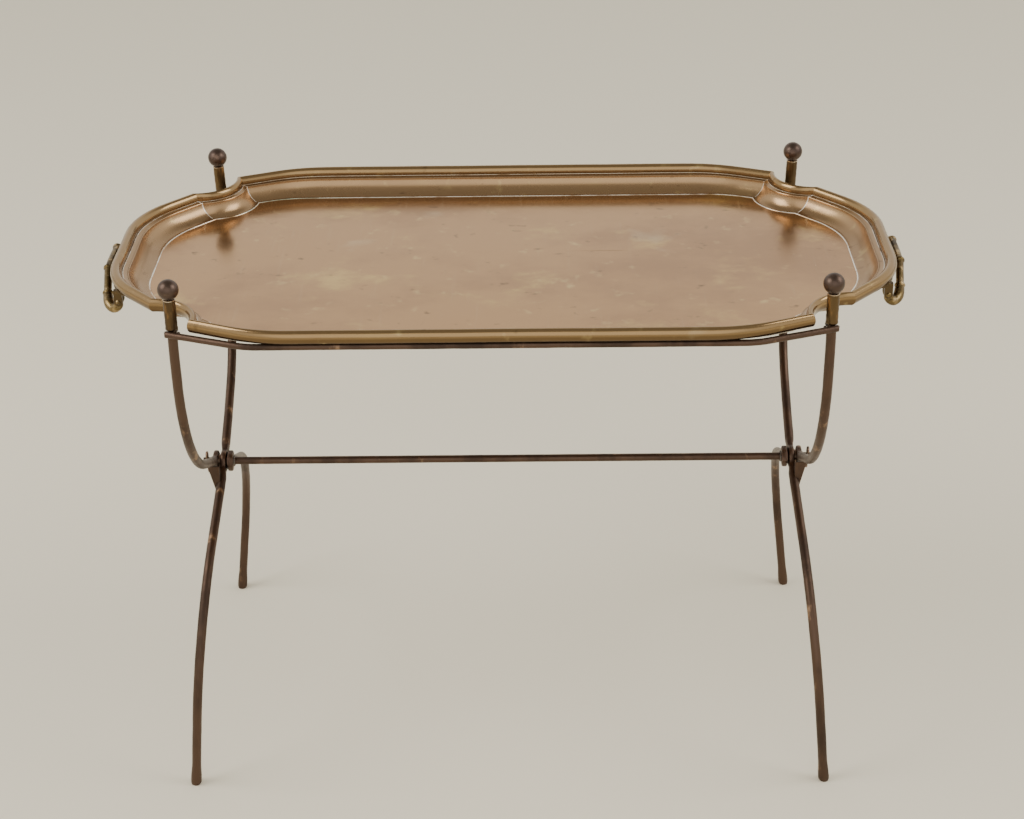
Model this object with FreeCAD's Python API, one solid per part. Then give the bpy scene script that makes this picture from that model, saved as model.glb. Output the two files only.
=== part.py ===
import FreeCAD, Part
import math
import os

# Tray table: a notched brass tray that rests on a folding iron X stand.
# Millimetres, +Z up, +X along the tray's length, front at -Y, origin on the floor under the centre.

os.makedirs("parts", exist_ok=True)

# ---- driving dimensions -------------------------------------------------------------------
ROD_DIA = 12.0                 # side rods, uprights and legs
RAIL_DIA = 8.0                 # rails under the tray rim
STRETCHER_DIA = 10.0
AXLE_Z = 353.5                 # height of the stretcher
UPRIGHT_X = 385.0              # finials stand here, half length and half depth
UPRIGHT_Y = 210.0
FOOT_Y = 233.0
FRONT_FOOT_X = 411.0
REAR_FOOT_X = 409.0

BALL_DIA = 25.0
BALL_Z = 702.0
FERRULE_DIA = 14.5
FERRULE_BOTTOM_Z = 651.5
RING_HEIGHT = 1.6              # bright ring between ferrule and ball

SIDE_EYE_X = 376.0             # middle of each eye along the stretcher
UPRIGHT_EYE_X = 386.5
REAR_LEG_EYE_X = 367.5
EYE_DIA = 28.0
SIDE_EYE_THICK = 8.0
UPRIGHT_EYE_THICK = 7.0
EYE_FLAT_RADIUS = 20.0         # the rods are forged flat inside this radius
TURN_CLEARANCE = 0.06          # radial, side rod eye on the stretcher
COTTER_X = 398.0
COTTER_R = 1.6
STRETCHER_END_X = 403.5
STRETCHER_CHAMFER = 1.0
COTTER_RISE = 12.0             # the pin's upper curl starts this far above the stretcher's axis
COTTER_DROP = 11.0
COTTER_CURL = 4.2              # radius of the upper curl
COTTER_TAIL = (1.5, 4.5, 5.0, 7.5)   # bend of the lower end: middle out, middle down, end out, end down
WASHER_RADIUS = 9.0
WASHER_PLAY = 0.3

UPPER_ARC_RADIUS = 222.0       # bend of the uprights
UPPER_ARC_Z = 597.0            # straight above this height
LOWER_ARC_RADIUS = 210.0       # bend of the legs
LOWER_ARC_Z = 106.0            # straight below this height
FOOT_SWELL = 1.2               # the rods spread by this much at the sole
FOOT_HEIGHT = 18.0
FOOT_CONE_START = 30.0         # from the uncut end of the rod
LEG_SPARE = 12.0               # rod left over, cut off level with the floor

LUG_NEAR_Y = -26.0             # stop lug, measured from the stretcher's axis
LUG_FAR_Y = -36.0
LUG_DEPTH = 32.0
LUG_TAPER = 4.0
LUG_OVERHANG = 6.5             # past the middle of the upright it stops
LUG_GAP = 0.35                 # under the upright, so that they only just meet

RAIL_Y = 252.0
RAIL_Z = 647.5
RAIL_BEND_X = 295.0
RAIL_BEND_RADIUS = 80.0
RAIL_END_X = 391.5
RAIL_BITE = 0.8                # depth of the weld into the upright

SHEET = 1.3                    # brass sheet of the tray
FLOOR_Z = 638.5                # upper face of the tray floor
GROOVE_Z = 659.0               # line where the wall meets the rolled rim
BEAD_WIDTH = 13.0
BEAD_HEIGHT = 17.0
BEAD_Z = 660.6                 # middle of the rolled rim
BEAD_OPENS_DEG = 300.0         # the sheet stops here on its way round the wire
BEAD_STARTS_DEG = -14.0        # outer face, where the groove ends
INNER_END_DEG = -8.0           # inner face
BEAD_STEPS = 12
GROOVE_LIP = (0.8, GROOVE_Z - 0.9)
GROOVE_UNDER = (1.6, GROOVE_Z - 2.6)
WIRE_GAP = 0.2                 # all round the wire inside the rim
GROOVE_DEPTH = 1.5             # the margin is this far below the groove line
WALL_STEPS = 5
WALL_WIDTH = 30.0              # from the groove line in to the floor line
SHOULDER_WIDTH = 7.5           # flat margin inside the groove

HINGE_X = 468.0                # handle hinge axis, along Y
HINGE_Z = 638.5
HINGE_Y = 97.0                 # middle of each eye of a handle
HANDLE_DIA = 9.0
HANDLE_END_DIA = 12.0          # the ends are cast thicker
# middle line of half a handle from its hinge to its middle: outwards, along the rim, upwards
HANDLE_END = [(0.0, HINGE_Y, 0.0), (3.0, HINGE_Y, -9.5), (9.5, 94.0, -14.0), (16.0, 85.5, -11.5),
              (20.0, 70.0, -5.5)]
HANDLE_GRIP = [(22.6, 50.0, 3.4), (24.6, 31.0, 10.8), (25.0, 14.0, 12.4), (25.0, 0.0, 12.6)]
COLLAR_RADIUS = 6.2
COLLAR_LENGTH = 4.0
COLLAR_BEVEL = 1.2
EYE_R = 5.6
EYE_HALF = 4.0
PIN_DIA = 4.0
PIN_CLEARANCE = 0.2            # radial
SIDE_PLAY = 0.4                # between a handle's eye and what is beside it
PIN_HEAD_R = 3.6
PIN_HEAD_SINK = 1.8

POST_THICK = 7.0
POST_HALF = 5.0
POST_HEIGHT = 15.0
FLANGE_THICK = 3.5
FLANGE_INWARDS = 31.0
FLANGE_RISE = 30.0
FLANGE_SIDES = (7.0, 3.0)      # how far the flange passes the post on either side
SOLDER_GAP = 0.05              # thickness of the solder between lug and tray

ROD_R = ROD_DIA / 2
SEAM = 0.2                     # a part ends this far inside its neighbour so that they fuse cleanly
X_AXIS = FreeCAD.Vector(1, 0, 0)
Y_AXIS = FreeCAD.Vector(0, 1, 0)
Z_AXIS = FreeCAD.Vector(0, 0, 1)


def vec(x, y, z):
    return FreeCAD.Vector(x, y, z)


def save(shape, name):
    """Write one node as a STEP file and print its size."""
    if not shape.isValid():
        print("INVALID", name)
    box = shape.BoundBox
    print(f"{name:24s} solids {len(shape.Solids)} volume {shape.Volume / 1000:8.2f} cm3 "
          f"x {box.XMin:.1f}..{box.XMax:.1f} y {box.YMin:.1f}..{box.YMax:.1f} "
          f"z {box.ZMin:.1f}..{box.ZMax:.1f}")
    shape.exportStep("parts/" + name + ".step")


def mirror_x(shape):
    return shape.mirror(vec(0, 0, 0), X_AXIS)


def mirror_y(shape):
    return shape.mirror(vec(0, 0, 0), Y_AXIS)


def clean(shape):
    """One tidy solid from a boolean result."""
    shape = shape.removeSplitter()
    return shape.Solids[0] if len(shape.Solids) == 1 else shape


def cylinder(radius, length, start, direction):
    return Part.makeCylinder(radius, length, start, direction)


def box(low, high):
    return Part.makeBox(high[0] - low[0], high[1] - low[1], high[2] - low[2], vec(*low))


# ---- rods of the stand --------------------------------------------------------------------
def bend_angle(reach, height, arc_level, radius):
    """Angle of the arc that leaves the straight stretch and then runs straight to the eye."""
    low, high = 0.2, 1.5
    for _ in range(60):
        angle = (low + high) / 2
        left = reach - radius * (1 - math.cos(angle))
        rise = height - arc_level
        if rise - radius * math.sin(angle) - left / math.tan(angle) > 0:
            high = angle
        else:
            low = angle
    return angle


def limb_wire(reach, height, arc_level, radius):
    """Path in the YZ plane: from the eye at (0, 0) out to (reach, height), ending upright."""
    angle = bend_angle(reach, height, height - arc_level, radius)
    knee = vec(0, reach - radius * (1 - math.cos(angle)), arc_level - radius * math.sin(angle))
    half = angle / 2
    middle = vec(0, reach - radius * (1 - math.cos(half)), arc_level - radius * math.sin(half))
    straight = vec(0, reach, arc_level)
    top = vec(0, reach, height)
    edges = [Part.LineSegment(vec(0, 0, 0), knee).toShape(),
             Part.Arc(knee, middle, straight).toShape(),
             Part.LineSegment(straight, top).toShape()]
    return Part.Wire(edges)


def round_bar(wire, radius):
    """A round bar along a wire that starts anywhere."""
    edge = wire.OrderedEdges[0]
    first = edge.FirstParameter
    start = edge.valueAt(first)
    direction = edge.tangentAt(first)
    section = Part.Wire([Part.makeCircle(radius, start, direction)])
    return wire.makePipeShell([section], True, False)


def tilt(shape, degrees, eye_x):
    """Lean a limb outwards about its eye and move it to its place on the stretcher."""
    shape = shape.copy()
    shape.rotate(vec(0, 0, 0), Y_AXIS, degrees)
    shape.translate(vec(eye_x, 0, AXLE_Z))
    return shape


def upper_lean(eye_x):
    return math.degrees(math.atan((UPRIGHT_X - eye_x) / (BALL_Z - AXLE_Z)))


STUD_LENGTH = 14.0
UPPER_TOP = BALL_Z - AXLE_Z - BALL_DIA / 2 - RING_HEIGHT - STUD_LENGTH   # top of the rod in the ferrule
UPPER_ARC_LEVEL = UPPER_ARC_Z - AXLE_Z
LEG_LENGTH = AXLE_Z + LEG_SPARE
LOWER_ARC_LEVEL = AXLE_Z - LOWER_ARC_Z


def upper_limb(eye_x):
    """Upright on the rear (+Y) side: rod from the eye up into the ferrule."""
    rod = round_bar(limb_wire(UPRIGHT_Y, UPPER_TOP, UPPER_ARC_LEVEL, UPPER_ARC_RADIUS), ROD_R)
    return tilt(rod, upper_lean(eye_x), eye_x)


def lower_limb(eye_x, foot_x):
    """Leg on the rear (+Y) side: rod from the eye down to a slightly spread foot."""
    rod = round_bar(limb_wire(FOOT_Y, LEG_LENGTH, LOWER_ARC_LEVEL, LOWER_ARC_RADIUS), ROD_R)
    wide = ROD_R + FOOT_SWELL
    toe = Part.makeCone(ROD_R - SEAM, wide, FOOT_HEIGHT, vec(0, FOOT_Y, LEG_LENGTH - FOOT_CONE_START), Z_AXIS)
    sole = cylinder(wide, LEG_SPARE, vec(0, FOOT_Y, LEG_LENGTH - LEG_SPARE), Z_AXIS)
    leg = rod.fuse([toe, sole]).mirror(vec(0, 0, 0), Z_AXIS)
    lean = math.degrees(math.atan((foot_x - eye_x) / AXLE_Z))
    leg = tilt(leg, -lean, eye_x)
    return leg.cut(box((0, 0, -60), (600, 400, 0)))


def eye(eye_x, thick):
    return cylinder(EYE_DIA / 2, thick, vec(eye_x - thick / 2, 0, AXLE_Z), X_AXIS)


def forge_flat(rod, eye_x, thick, bore_radius):
    """Flatten the rod round its eye on both sides and bore the eye."""
    outer = cylinder(EYE_FLAT_RADIUS, ROD_DIA, vec(eye_x + thick / 2, 0, AXLE_Z), X_AXIS)
    inner = cylinder(EYE_FLAT_RADIUS, ROD_DIA, vec(eye_x - thick / 2 - ROD_DIA, 0, AXLE_Z), X_AXIS)
    bore = cylinder(bore_radius, thick * 4, vec(eye_x - thick * 2, 0, AXLE_Z), X_AXIS)
    return clean(rod.cut([outer, inner, bore]))


def side_rod():
    """Rear upright and front leg in one bar, with the turning eye at its middle."""
    top = upper_limb(SIDE_EYE_X)
    leg = mirror_y(lower_limb(SIDE_EYE_X, FRONT_FOOT_X))
    rod = eye(SIDE_EYE_X, SIDE_EYE_THICK).fuse([top, leg])
    return forge_flat(rod, SIDE_EYE_X, SIDE_EYE_THICK, STRETCHER_DIA / 2 + TURN_CLEARANCE)


def front_upright():
    rod = eye(UPRIGHT_EYE_X, UPRIGHT_EYE_THICK).fuse(mirror_y(upper_limb(UPRIGHT_EYE_X)))
    return forge_flat(rod, UPRIGHT_EYE_X, UPRIGHT_EYE_THICK, STRETCHER_DIA / 2)


def rear_leg():
    rod = eye(REAR_LEG_EYE_X, SIDE_EYE_THICK).fuse(lower_limb(REAR_LEG_EYE_X, REAR_FOOT_X))
    return forge_flat(rod, REAR_LEG_EYE_X, SIDE_EYE_THICK, STRETCHER_DIA / 2)


def rail(upright_right):
    """Rear rail: straight in the middle, bent in at both ends, welded to the uprights."""
    end_y = UPRIGHT_Y + ROD_R + RAIL_DIA / 2 - RAIL_BITE
    turn = math.atan((RAIL_Y - end_y) / (UPRIGHT_X - RAIL_BEND_X))
    tangent = RAIL_BEND_RADIUS * math.tan(turn / 2)
    end = vec(RAIL_END_X, RAIL_Y - (RAIL_END_X - RAIL_BEND_X) * math.tan(turn), RAIL_Z)
    into = vec(RAIL_BEND_X + tangent * math.cos(turn), RAIL_Y - tangent * math.sin(turn), RAIL_Z)
    off = vec(RAIL_BEND_X - tangent, RAIL_Y, RAIL_Z)
    half = turn / 2
    mid = vec(off.x + RAIL_BEND_RADIUS * math.sin(half),
              RAIL_Y - RAIL_BEND_RADIUS * (1 - math.cos(half)), RAIL_Z)

    def left(point):
        return vec(-point.x, point.y, point.z)

    edges = [Part.LineSegment(left(end), left(into)).toShape(),
             Part.Arc(left(into), left(mid), left(off)).toShape(),
             Part.LineSegment(left(off), off).toShape(),
             Part.Arc(off, mid, into).toShape(),
             Part.LineSegment(into, end).toShape()]
    bar = round_bar(Part.Wire(edges), RAIL_DIA / 2)
    return clean(bar.cut([upright_right, mirror_x(upright_right)]))


def top_part(profile, eye_x):
    """Turn a profile of (radius, height above the eye) about an upright's axis on the rear side."""
    points = [vec(radius, 0, height) for radius, height in profile]
    face = Part.Face(Part.makePolygon(points + [points[0]]))
    solid = face.revolve(vec(0, 0, 0), Z_AXIS, 360)
    solid.translate(vec(0, UPRIGHT_Y, 0))
    return tilt(Part.Solid(solid) if solid.ShapeType == "Shell" else solid, upper_lean(eye_x), eye_x)


BALL_SEAT = 0.9                # height cut off the ball to seat it
RING_OVERHANG = 0.3
FERRULE_BEVEL = 0.6
RING_TOP = BALL_Z - AXLE_Z - BALL_DIA / 2 + BALL_SEAT
RING_BOTTOM = RING_TOP - RING_HEIGHT
FERRULE_BOTTOM = FERRULE_BOTTOM_Z - AXLE_Z
STUD_R = 4.0
STUD_GAP = 0.5
STUD_BOTTOM = UPPER_TOP + STUD_GAP


def ferrule(eye_x):
    """Brass sleeve over the rod's top, with a smaller bore above it for the finial's stud."""
    outside = FERRULE_DIA / 2
    profile = [(ROD_R, FERRULE_BOTTOM), (outside, FERRULE_BOTTOM), (outside, RING_BOTTOM - FERRULE_BEVEL),
               (outside - FERRULE_BEVEL, RING_BOTTOM), (STUD_R, RING_BOTTOM), (STUD_R, STUD_BOTTOM),
               (ROD_R, STUD_BOTTOM)]
    return top_part(profile, eye_x)


def finial_ring(eye_x):
    outside = FERRULE_DIA / 2 + RING_OVERHANG
    profile = [(STUD_R, RING_BOTTOM), (outside, RING_BOTTOM), (outside, RING_TOP), (STUD_R, RING_TOP)]
    return top_part(profile, eye_x)


def finial(eye_x):
    """Ball with a flat seat on its ring and a stud down into the ferrule."""
    centre = BALL_Z - AXLE_Z
    ball = Part.makeSphere(BALL_DIA / 2, vec(0, UPRIGHT_Y, centre))
    ball = ball.cut(cylinder(BALL_DIA, BALL_DIA, vec(0, UPRIGHT_Y, RING_TOP - BALL_DIA), Z_AXIS))
    stud = cylinder(STUD_R, RING_TOP - STUD_BOTTOM + 2.0, vec(0, UPRIGHT_Y, STUD_BOTTOM), Z_AXIS)
    return tilt(clean(ball.fuse(stud)), upper_lean(eye_x), eye_x)


def stretcher():
    bar = cylinder(STRETCHER_DIA / 2, 2 * STRETCHER_END_X, vec(-STRETCHER_END_X, 0, AXLE_Z), X_AXIS)
    bar = bar.makeChamfer(STRETCHER_CHAMFER, [edge for edge in bar.Edges if edge.Closed])
    for side in (-1, 1):
        bar = bar.cut(cylinder(COTTER_R, 40, vec(side * COTTER_X, 0, AXLE_Z - 20), Z_AXIS))
    return bar


def cotter_pin():
    """Wire through the stretcher's end, both ends curled over."""
    high, low = AXLE_Z + COTTER_RISE, AXLE_Z - COTTER_DROP
    shank = Part.LineSegment(vec(COTTER_X, 0, low), vec(COTTER_X, 0, high)).toShape()
    curl = Part.Arc(vec(COTTER_X, 0, high), vec(COTTER_X, -COTTER_CURL, high + COTTER_CURL),
                    vec(COTTER_X, -2 * COTTER_CURL, high)).toShape()
    pin = round_bar(Part.Wire([shank, curl]), COTTER_R)
    out_1, down_1, out_2, down_2 = COTTER_TAIL
    lead = Part.LineSegment(vec(COTTER_X, 0, low + COTTER_R), vec(COTTER_X, 0, low)).toShape()
    bend = Part.Arc(vec(COTTER_X, 0, low), vec(COTTER_X, out_1, low - down_1),
                    vec(COTTER_X, out_2, low - down_2))
    tail = [lead, bend.toShape()]
    return clean(pin.fuse(round_bar(Part.Wire(tail), COTTER_R)))


def spacer_washer():
    inner_x = SIDE_EYE_X + SIDE_EYE_THICK / 2
    outer_x = UPRIGHT_EYE_X - UPRIGHT_EYE_THICK / 2
    thick = outer_x - inner_x - WASHER_PLAY
    ring = cylinder(WASHER_RADIUS, thick, vec(outer_x - thick, 0, AXLE_Z), X_AXIS)
    return ring.cut(cylinder(STRETCHER_DIA / 2, 2 * thick, vec(inner_x, 0, AXLE_Z), X_AXIS))


def stop_lug(rod_right):
    """Wedge on the outside of the front leg: the front upright lies on its sloping top."""
    angle = bend_angle(UPRIGHT_Y, UPPER_TOP, UPPER_TOP - UPPER_ARC_LEVEL, UPPER_ARC_RADIUS)
    slope = math.pi / 2 - angle
    inner_x, toe_x = SIDE_EYE_X + 2.0, SIDE_EYE_X + ROD_R + 1.0
    outer_x = UPRIGHT_EYE_X + LUG_OVERHANG

    def slice_at(y, low):
        top = AXLE_Z - y * math.tan(slope) - (ROD_R + LUG_GAP) / math.cos(slope)
        corners = [vec(inner_x, y, top), vec(outer_x, y, top), vec(toe_x, y, low), vec(inner_x, y, low)]
        return Part.makePolygon(corners + corners[:1])

    low = AXLE_Z - LUG_DEPTH
    wedge = Part.makeLoft([slice_at(LUG_FAR_Y, low), slice_at(LUG_NEAR_Y, low + LUG_TAPER)], True, True)
    cut = wedge.cut(rod_right)
    return max(cut.Solids, key=lambda solid: solid.Volume)


# ---- tray ---------------------------------------------------------------------------------
# Plan outline in one quarter, at the groove line (share 0) and at the floor line (share 1).
GROOVE = {"long_y": 247.0, "long_corner_x": 284.0, "cusp_long": (355.0, 218.0), "notch_depth": 17.0,
          "cusp_end": (408.0, 161.0), "end_corner_y": 93.0, "end_x": 470.5,
          "long_round": 34.0, "end_round": 48.0}
FLOOR = {"long_y": 216.5, "long_corner_x": 296.0, "cusp_long": (333.0, 202.0), "notch_depth": 13.0,
         "cusp_end": (384.0, 147.0), "end_corner_y": 86.0, "end_x": 438.5,
         "long_round": 26.0, "end_round": 46.0}


def blend(name, share):
    first, last = GROOVE[name], FLOOR[name]
    if isinstance(first, tuple):
        return tuple(a + (b - a) * share for a, b in zip(first, last))
    return first + (last - first) * share


def rounded(before, corner, after, length):
    """Ends and middle of the arc that rounds a corner, with tangents of the given length."""
    one = (vec(*before, 0) - vec(*corner, 0)).normalize()
    two = (vec(*after, 0) - vec(*corner, 0)).normalize()
    half = math.acos(one.dot(two)) / 2
    radius = length * math.tan(half)
    centre_distance = length / math.cos(half)
    bisector = (one + two).normalize()
    corner = vec(*corner, 0)
    return corner + one * length, corner + bisector * (centre_distance - radius), corner + two * length


def outline(share, z):
    """Closed wire round the tray at one share of the way from groove line to floor line."""
    long_y, end_x = blend("long_y", share), blend("end_x", share)
    cusp_long, cusp_end = blend("cusp_long", share), blend("cusp_end", share)
    long_corner = (blend("long_corner_x", share), long_y)
    end_corner = (end_x, blend("end_corner_y", share))
    bend = rounded((0, long_y), long_corner, cusp_long, blend("long_round", share))
    turn = rounded(cusp_end, end_corner, (end_x, 0), blend("end_round", share))
    a, b = vec(*cusp_long, 0), vec(*cusp_end, 0)
    inwards = vec(-(a - b).y, (a - b).x, 0).normalize()
    if inwards.x > 0:
        inwards = inwards * -1
    notch = (a + b) * 0.5 + inwards * blend("notch_depth", share)
    quarter = [bend[0], bend[1], bend[2], a, notch, b, turn[0], turn[1], turn[2]]
    kinds = ["arc", "line", "arc", "line", "arc"]

    def place(point, sx, sy):
        return vec(sx * point.x, sy * point.y, z)

    edges = []
    last = None
    for sx, sy, forward in ((1, 1, True), (1, -1, False), (-1, -1, True), (-1, 1, False)):
        points = [place(point, sx, sy) for point in (quarter if forward else quarter[::-1])]
        if last is not None:
            edges.append(Part.LineSegment(last, points[0]).toShape())
        index = 0
        for kind in kinds:
            if kind == "arc":
                edges.append(Part.Arc(points[index], points[index + 1], points[index + 2]).toShape())
                index += 2
            else:
                edges.append(Part.LineSegment(points[index], points[index + 1]).toShape())
                index += 1
        last = points[index]
    edges.append(Part.LineSegment(last, edges[0].valueAt(edges[0].FirstParameter)).toShape())
    return Part.Wire(edges)


def ring_points(width, height, start_deg, end_deg, steps):
    """Points (distance inwards from the groove line, height) round the rolled rim."""
    points = []
    for step in range(steps + 1):
        angle = math.radians(start_deg + (end_deg - start_deg) * step / steps)
        points.append((-BEAD_WIDTH / 2 + width / 2 * math.cos(angle), BEAD_Z + height / 2 * math.sin(angle)))
    return points


def wall_points(offset, steps):
    """Hollow of the wall, from the shoulder down to the floor line; offset is below the upper face."""
    run = WALL_WIDTH - SHOULDER_WIDTH
    drop = GROOVE_Z - GROOVE_DEPTH - FLOOR_Z
    radius = (run * run + drop * drop) / (2 * drop)
    sweep = math.asin(run / radius)
    points = []
    for step in range(steps + 1):
        angle = sweep * (1 - step / steps)
        points.append((WALL_WIDTH - (radius + offset) * math.sin(angle),
                       FLOOR_Z + radius - (radius + offset) * math.cos(angle)))
    return points


def tray_pan():
    """Sheet pan: floor, hollow wall, shoulder, and the rim rolled round its wire."""
    top = wall_points(0, WALL_STEPS)[::-1] + [GROOVE_LIP]
    outside = ring_points(BEAD_WIDTH, BEAD_HEIGHT, BEAD_STARTS_DEG, BEAD_OPENS_DEG, BEAD_STEPS)
    inside = ring_points(BEAD_WIDTH - 2 * SHEET, BEAD_HEIGHT - 2 * SHEET,
                         BEAD_OPENS_DEG, INNER_END_DEG, BEAD_STEPS)
    bottom = [GROOVE_UNDER] + wall_points(SHEET, WALL_STEPS)
    profile = top + outside + inside + bottom
    wires = [outline(distance / WALL_WIDTH, z) for distance, z in profile]
    return Part.makeLoft(wires, True, True)


def rim_wire():
    """Iron wire inside the rolled rim, with the same corners as the sheet round it."""
    width, height = BEAD_WIDTH - 2 * (SHEET + WIRE_GAP), BEAD_HEIGHT - 2 * (SHEET + WIRE_GAP)
    points = ring_points(width, height, BEAD_OPENS_DEG, INNER_END_DEG, BEAD_STEPS)
    points += ring_points(width, height, (BEAD_OPENS_DEG + INNER_END_DEG - 360) / 2, INNER_END_DEG, 1)[:1]
    wires = [outline(distance / WALL_WIDTH, z) for distance, z in points]
    wires.append(wires[0])
    shell = Part.makeLoft(wires, False, True)
    return Part.Solid(Part.Shell(shell.Faces))


# ---- handles ------------------------------------------------------------------------------
def handle_line(points):
    """Smooth middle line on the right end, through points measured from the hinge line."""
    curve = Part.BSplineCurve()
    curve.interpolate([vec(HINGE_X + out, along, HINGE_Z + up) for out, along, up in points])
    return curve


def collar(curve, at):
    """Turned collar on the grip, where its middle line passes one of its points."""
    spot = vec(HINGE_X + at[0], at[1], HINGE_Z + at[2])
    along = curve.tangent(curve.parameter(spot))[0]
    middle = cylinder(COLLAR_RADIUS, COLLAR_LENGTH, spot - along * (COLLAR_LENGTH / 2), along)
    return middle.makeChamfer(COLLAR_BEVEL, [edge for edge in middle.Edges if edge.Closed])


def handle():
    """Cast bail handle on the right end: bowed grip, four collars, and ends that hook round to their pins."""
    half_line = HANDLE_END + HANDLE_GRIP
    mirrored_half = [(out, -along, up) for out, along, up in half_line[-2::-1]]
    grip_line = handle_line(half_line + mirrored_half)
    shape = round_bar(Part.Wire([grip_line.toShape()]), HANDLE_DIA / 2)
    extras = [collar(grip_line, HANDLE_END[-1]), collar(grip_line, HANDLE_GRIP[1])]
    extras.append(round_bar(Part.Wire([handle_line(HANDLE_END).toShape()]), HANDLE_END_DIA / 2))
    extras.append(cylinder(EYE_R, 2 * EYE_HALF, vec(HINGE_X, HINGE_Y - EYE_HALF, HINGE_Z), Y_AXIS))
    shape = shape.fuse(extras + [mirror_y(extra) for extra in extras])
    for side in (-1, 1):
        for way, radius in ((side, 2 * EYE_R), (-side, PIN_HEAD_R + SIDE_PLAY)):
            face = vec(HINGE_X, side * HINGE_Y + way * EYE_HALF, HINGE_Z)
            shape = shape.cut(cylinder(radius, HANDLE_END_DIA, face, vec(0, way, 0)))
        bore_start = vec(HINGE_X, side * HINGE_Y - 2 * EYE_HALF, HINGE_Z)
        shape = shape.cut(cylinder(PIN_DIA / 2 + PIN_CLEARANCE, 4 * EYE_HALF, bore_start, Y_AXIS))
    return clean(shape)


POST_START = HINGE_Y + EYE_HALF + SIDE_PLAY


def tray_envelope():
    """Everything above the tray's underside, used to fit the lugs to it."""
    rim = ring_points(BEAD_WIDTH, BEAD_HEIGHT, BEAD_OPENS_DEG + 25, 180, BEAD_STEPS)
    above = (-BEAD_WIDTH, GROOVE_Z + 2 * BEAD_HEIGHT)
    profile = wall_points(SHEET, WALL_STEPS)[::-1] + [GROOVE_UNDER] + rim + [above]
    wires = [outline(distance / WALL_WIDTH, z) for distance, z in profile]
    return Part.makeLoft(wires, True, True)


def bracket(envelope):
    """Lug soldered under the rim at the right rear: a post for the pin and a flange on the wall."""
    post_end = POST_START + POST_THICK
    post = box((HINGE_X - POST_HALF, POST_START, HINGE_Z),
               (HINGE_X + POST_HALF, post_end, HINGE_Z + POST_HEIGHT))
    knuckle = cylinder(POST_HALF, POST_THICK, vec(HINGE_X, POST_START, HINGE_Z), Y_AXIS)
    flange = box((HINGE_X - FLANGE_INWARDS, POST_START - FLANGE_SIDES[0], HINGE_Z - 2 * POST_HALF),
                 (HINGE_X + POST_HALF, post_end + FLANGE_SIDES[1], HINGE_Z + FLANGE_RISE))
    top, bottom = envelope.copy(), envelope.copy()
    top.translate(vec(0, 0, -SOLDER_GAP))
    bottom.translate(vec(0, 0, -FLANGE_THICK))
    body = post.fuse([knuckle, flange.common(bottom)]).cut(top)
    bore_start = vec(HINGE_X, POST_START - POST_HALF, HINGE_Z)
    body = body.cut(cylinder(PIN_DIA / 2, 2 * POST_THICK, bore_start, Y_AXIS))
    return clean(max(body.Solids, key=lambda solid: solid.Volume))


def handle_pin():
    """Pin fixed in the lug, with a rounded head at each end."""
    inner = HINGE_Y - EYE_HALF - SIDE_PLAY
    outer = POST_START + POST_THICK
    shaft = cylinder(PIN_DIA / 2, outer - inner, vec(HINGE_X, inner, HINGE_Z), Y_AXIS)
    heads = []
    for y, way in ((inner, -1), (outer, 1)):
        ball = Part.makeSphere(PIN_HEAD_R, vec(HINGE_X, y - way * PIN_HEAD_SINK, HINGE_Z))
        keep = cylinder(PIN_HEAD_R, PIN_HEAD_R, vec(HINGE_X, y, HINGE_Z), vec(0, way, 0))
        heads.append(ball.common(keep))
    return clean(shaft.fuse(heads))


def build_stand():
    side_rod_right = side_rod()
    front_upright_right = front_upright()
    pairs = {"side_rod": side_rod_right, "front_upright": front_upright_right, "rear_leg": rear_leg(),
             "cotter_pin": cotter_pin(), "spacer_washer": spacer_washer(),
             "stop_lug": stop_lug(side_rod_right),
             "ferrule_rear": ferrule(SIDE_EYE_X), "finial_rear": finial(SIDE_EYE_X),
             "ferrule_front": mirror_y(ferrule(UPRIGHT_EYE_X)),
             "finial_front": mirror_y(finial(UPRIGHT_EYE_X))}
    for name, shape in pairs.items():
        save(shape, name + "_right")
        save(mirror_x(shape), name + "_left")
    save(rail(side_rod_right), "rear_rail")
    save(mirror_y(rail(mirror_y(front_upright_right))), "front_rail")
    save(stretcher(), "stretcher")
    ring = finial_ring(SIDE_EYE_X)
    save(Part.makeCompound([ring, mirror_x(ring)]), "finial_rings_rear")
    ring = mirror_y(finial_ring(UPRIGHT_EYE_X))
    save(Part.makeCompound([ring, mirror_x(ring)]), "finial_rings_front")


def build_tray():
    save(tray_pan(), "tray_pan")
    save(rim_wire(), "rim_wire")
    left_grip = mirror_x(handle())
    right_grip = left_grip.copy()
    right_grip.rotate(vec(0, 0, 0), Z_AXIS, 180)
    save(left_grip, "handle_left")
    save(right_grip, "handle_right")
    for name, shape in (("handle_bracket", bracket(tray_envelope())), ("handle_pin", handle_pin())):
        save(shape, name + "_rear_right")
        save(mirror_x(shape), name + "_rear_left")
        save(mirror_y(shape), name + "_front_right")
        save(mirror_y(mirror_x(shape)), name + "_front_left")


build_stand()
build_tray()
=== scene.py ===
# %% [markdown]
# # A brass tray table on a folding stand
# The table is a loose brass tray that lies on a stand of curved iron rods. The stand is two halves that turn
# on one long stretcher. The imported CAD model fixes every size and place, so this file only makes the looks:
# each piece is built again with its rolled edges, forged eyes and worn metal, where the CAD piece stands.

# %% Load the frame
import math

import bmesh
import bpy
from mathutils import Matrix, Vector, noise


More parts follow.
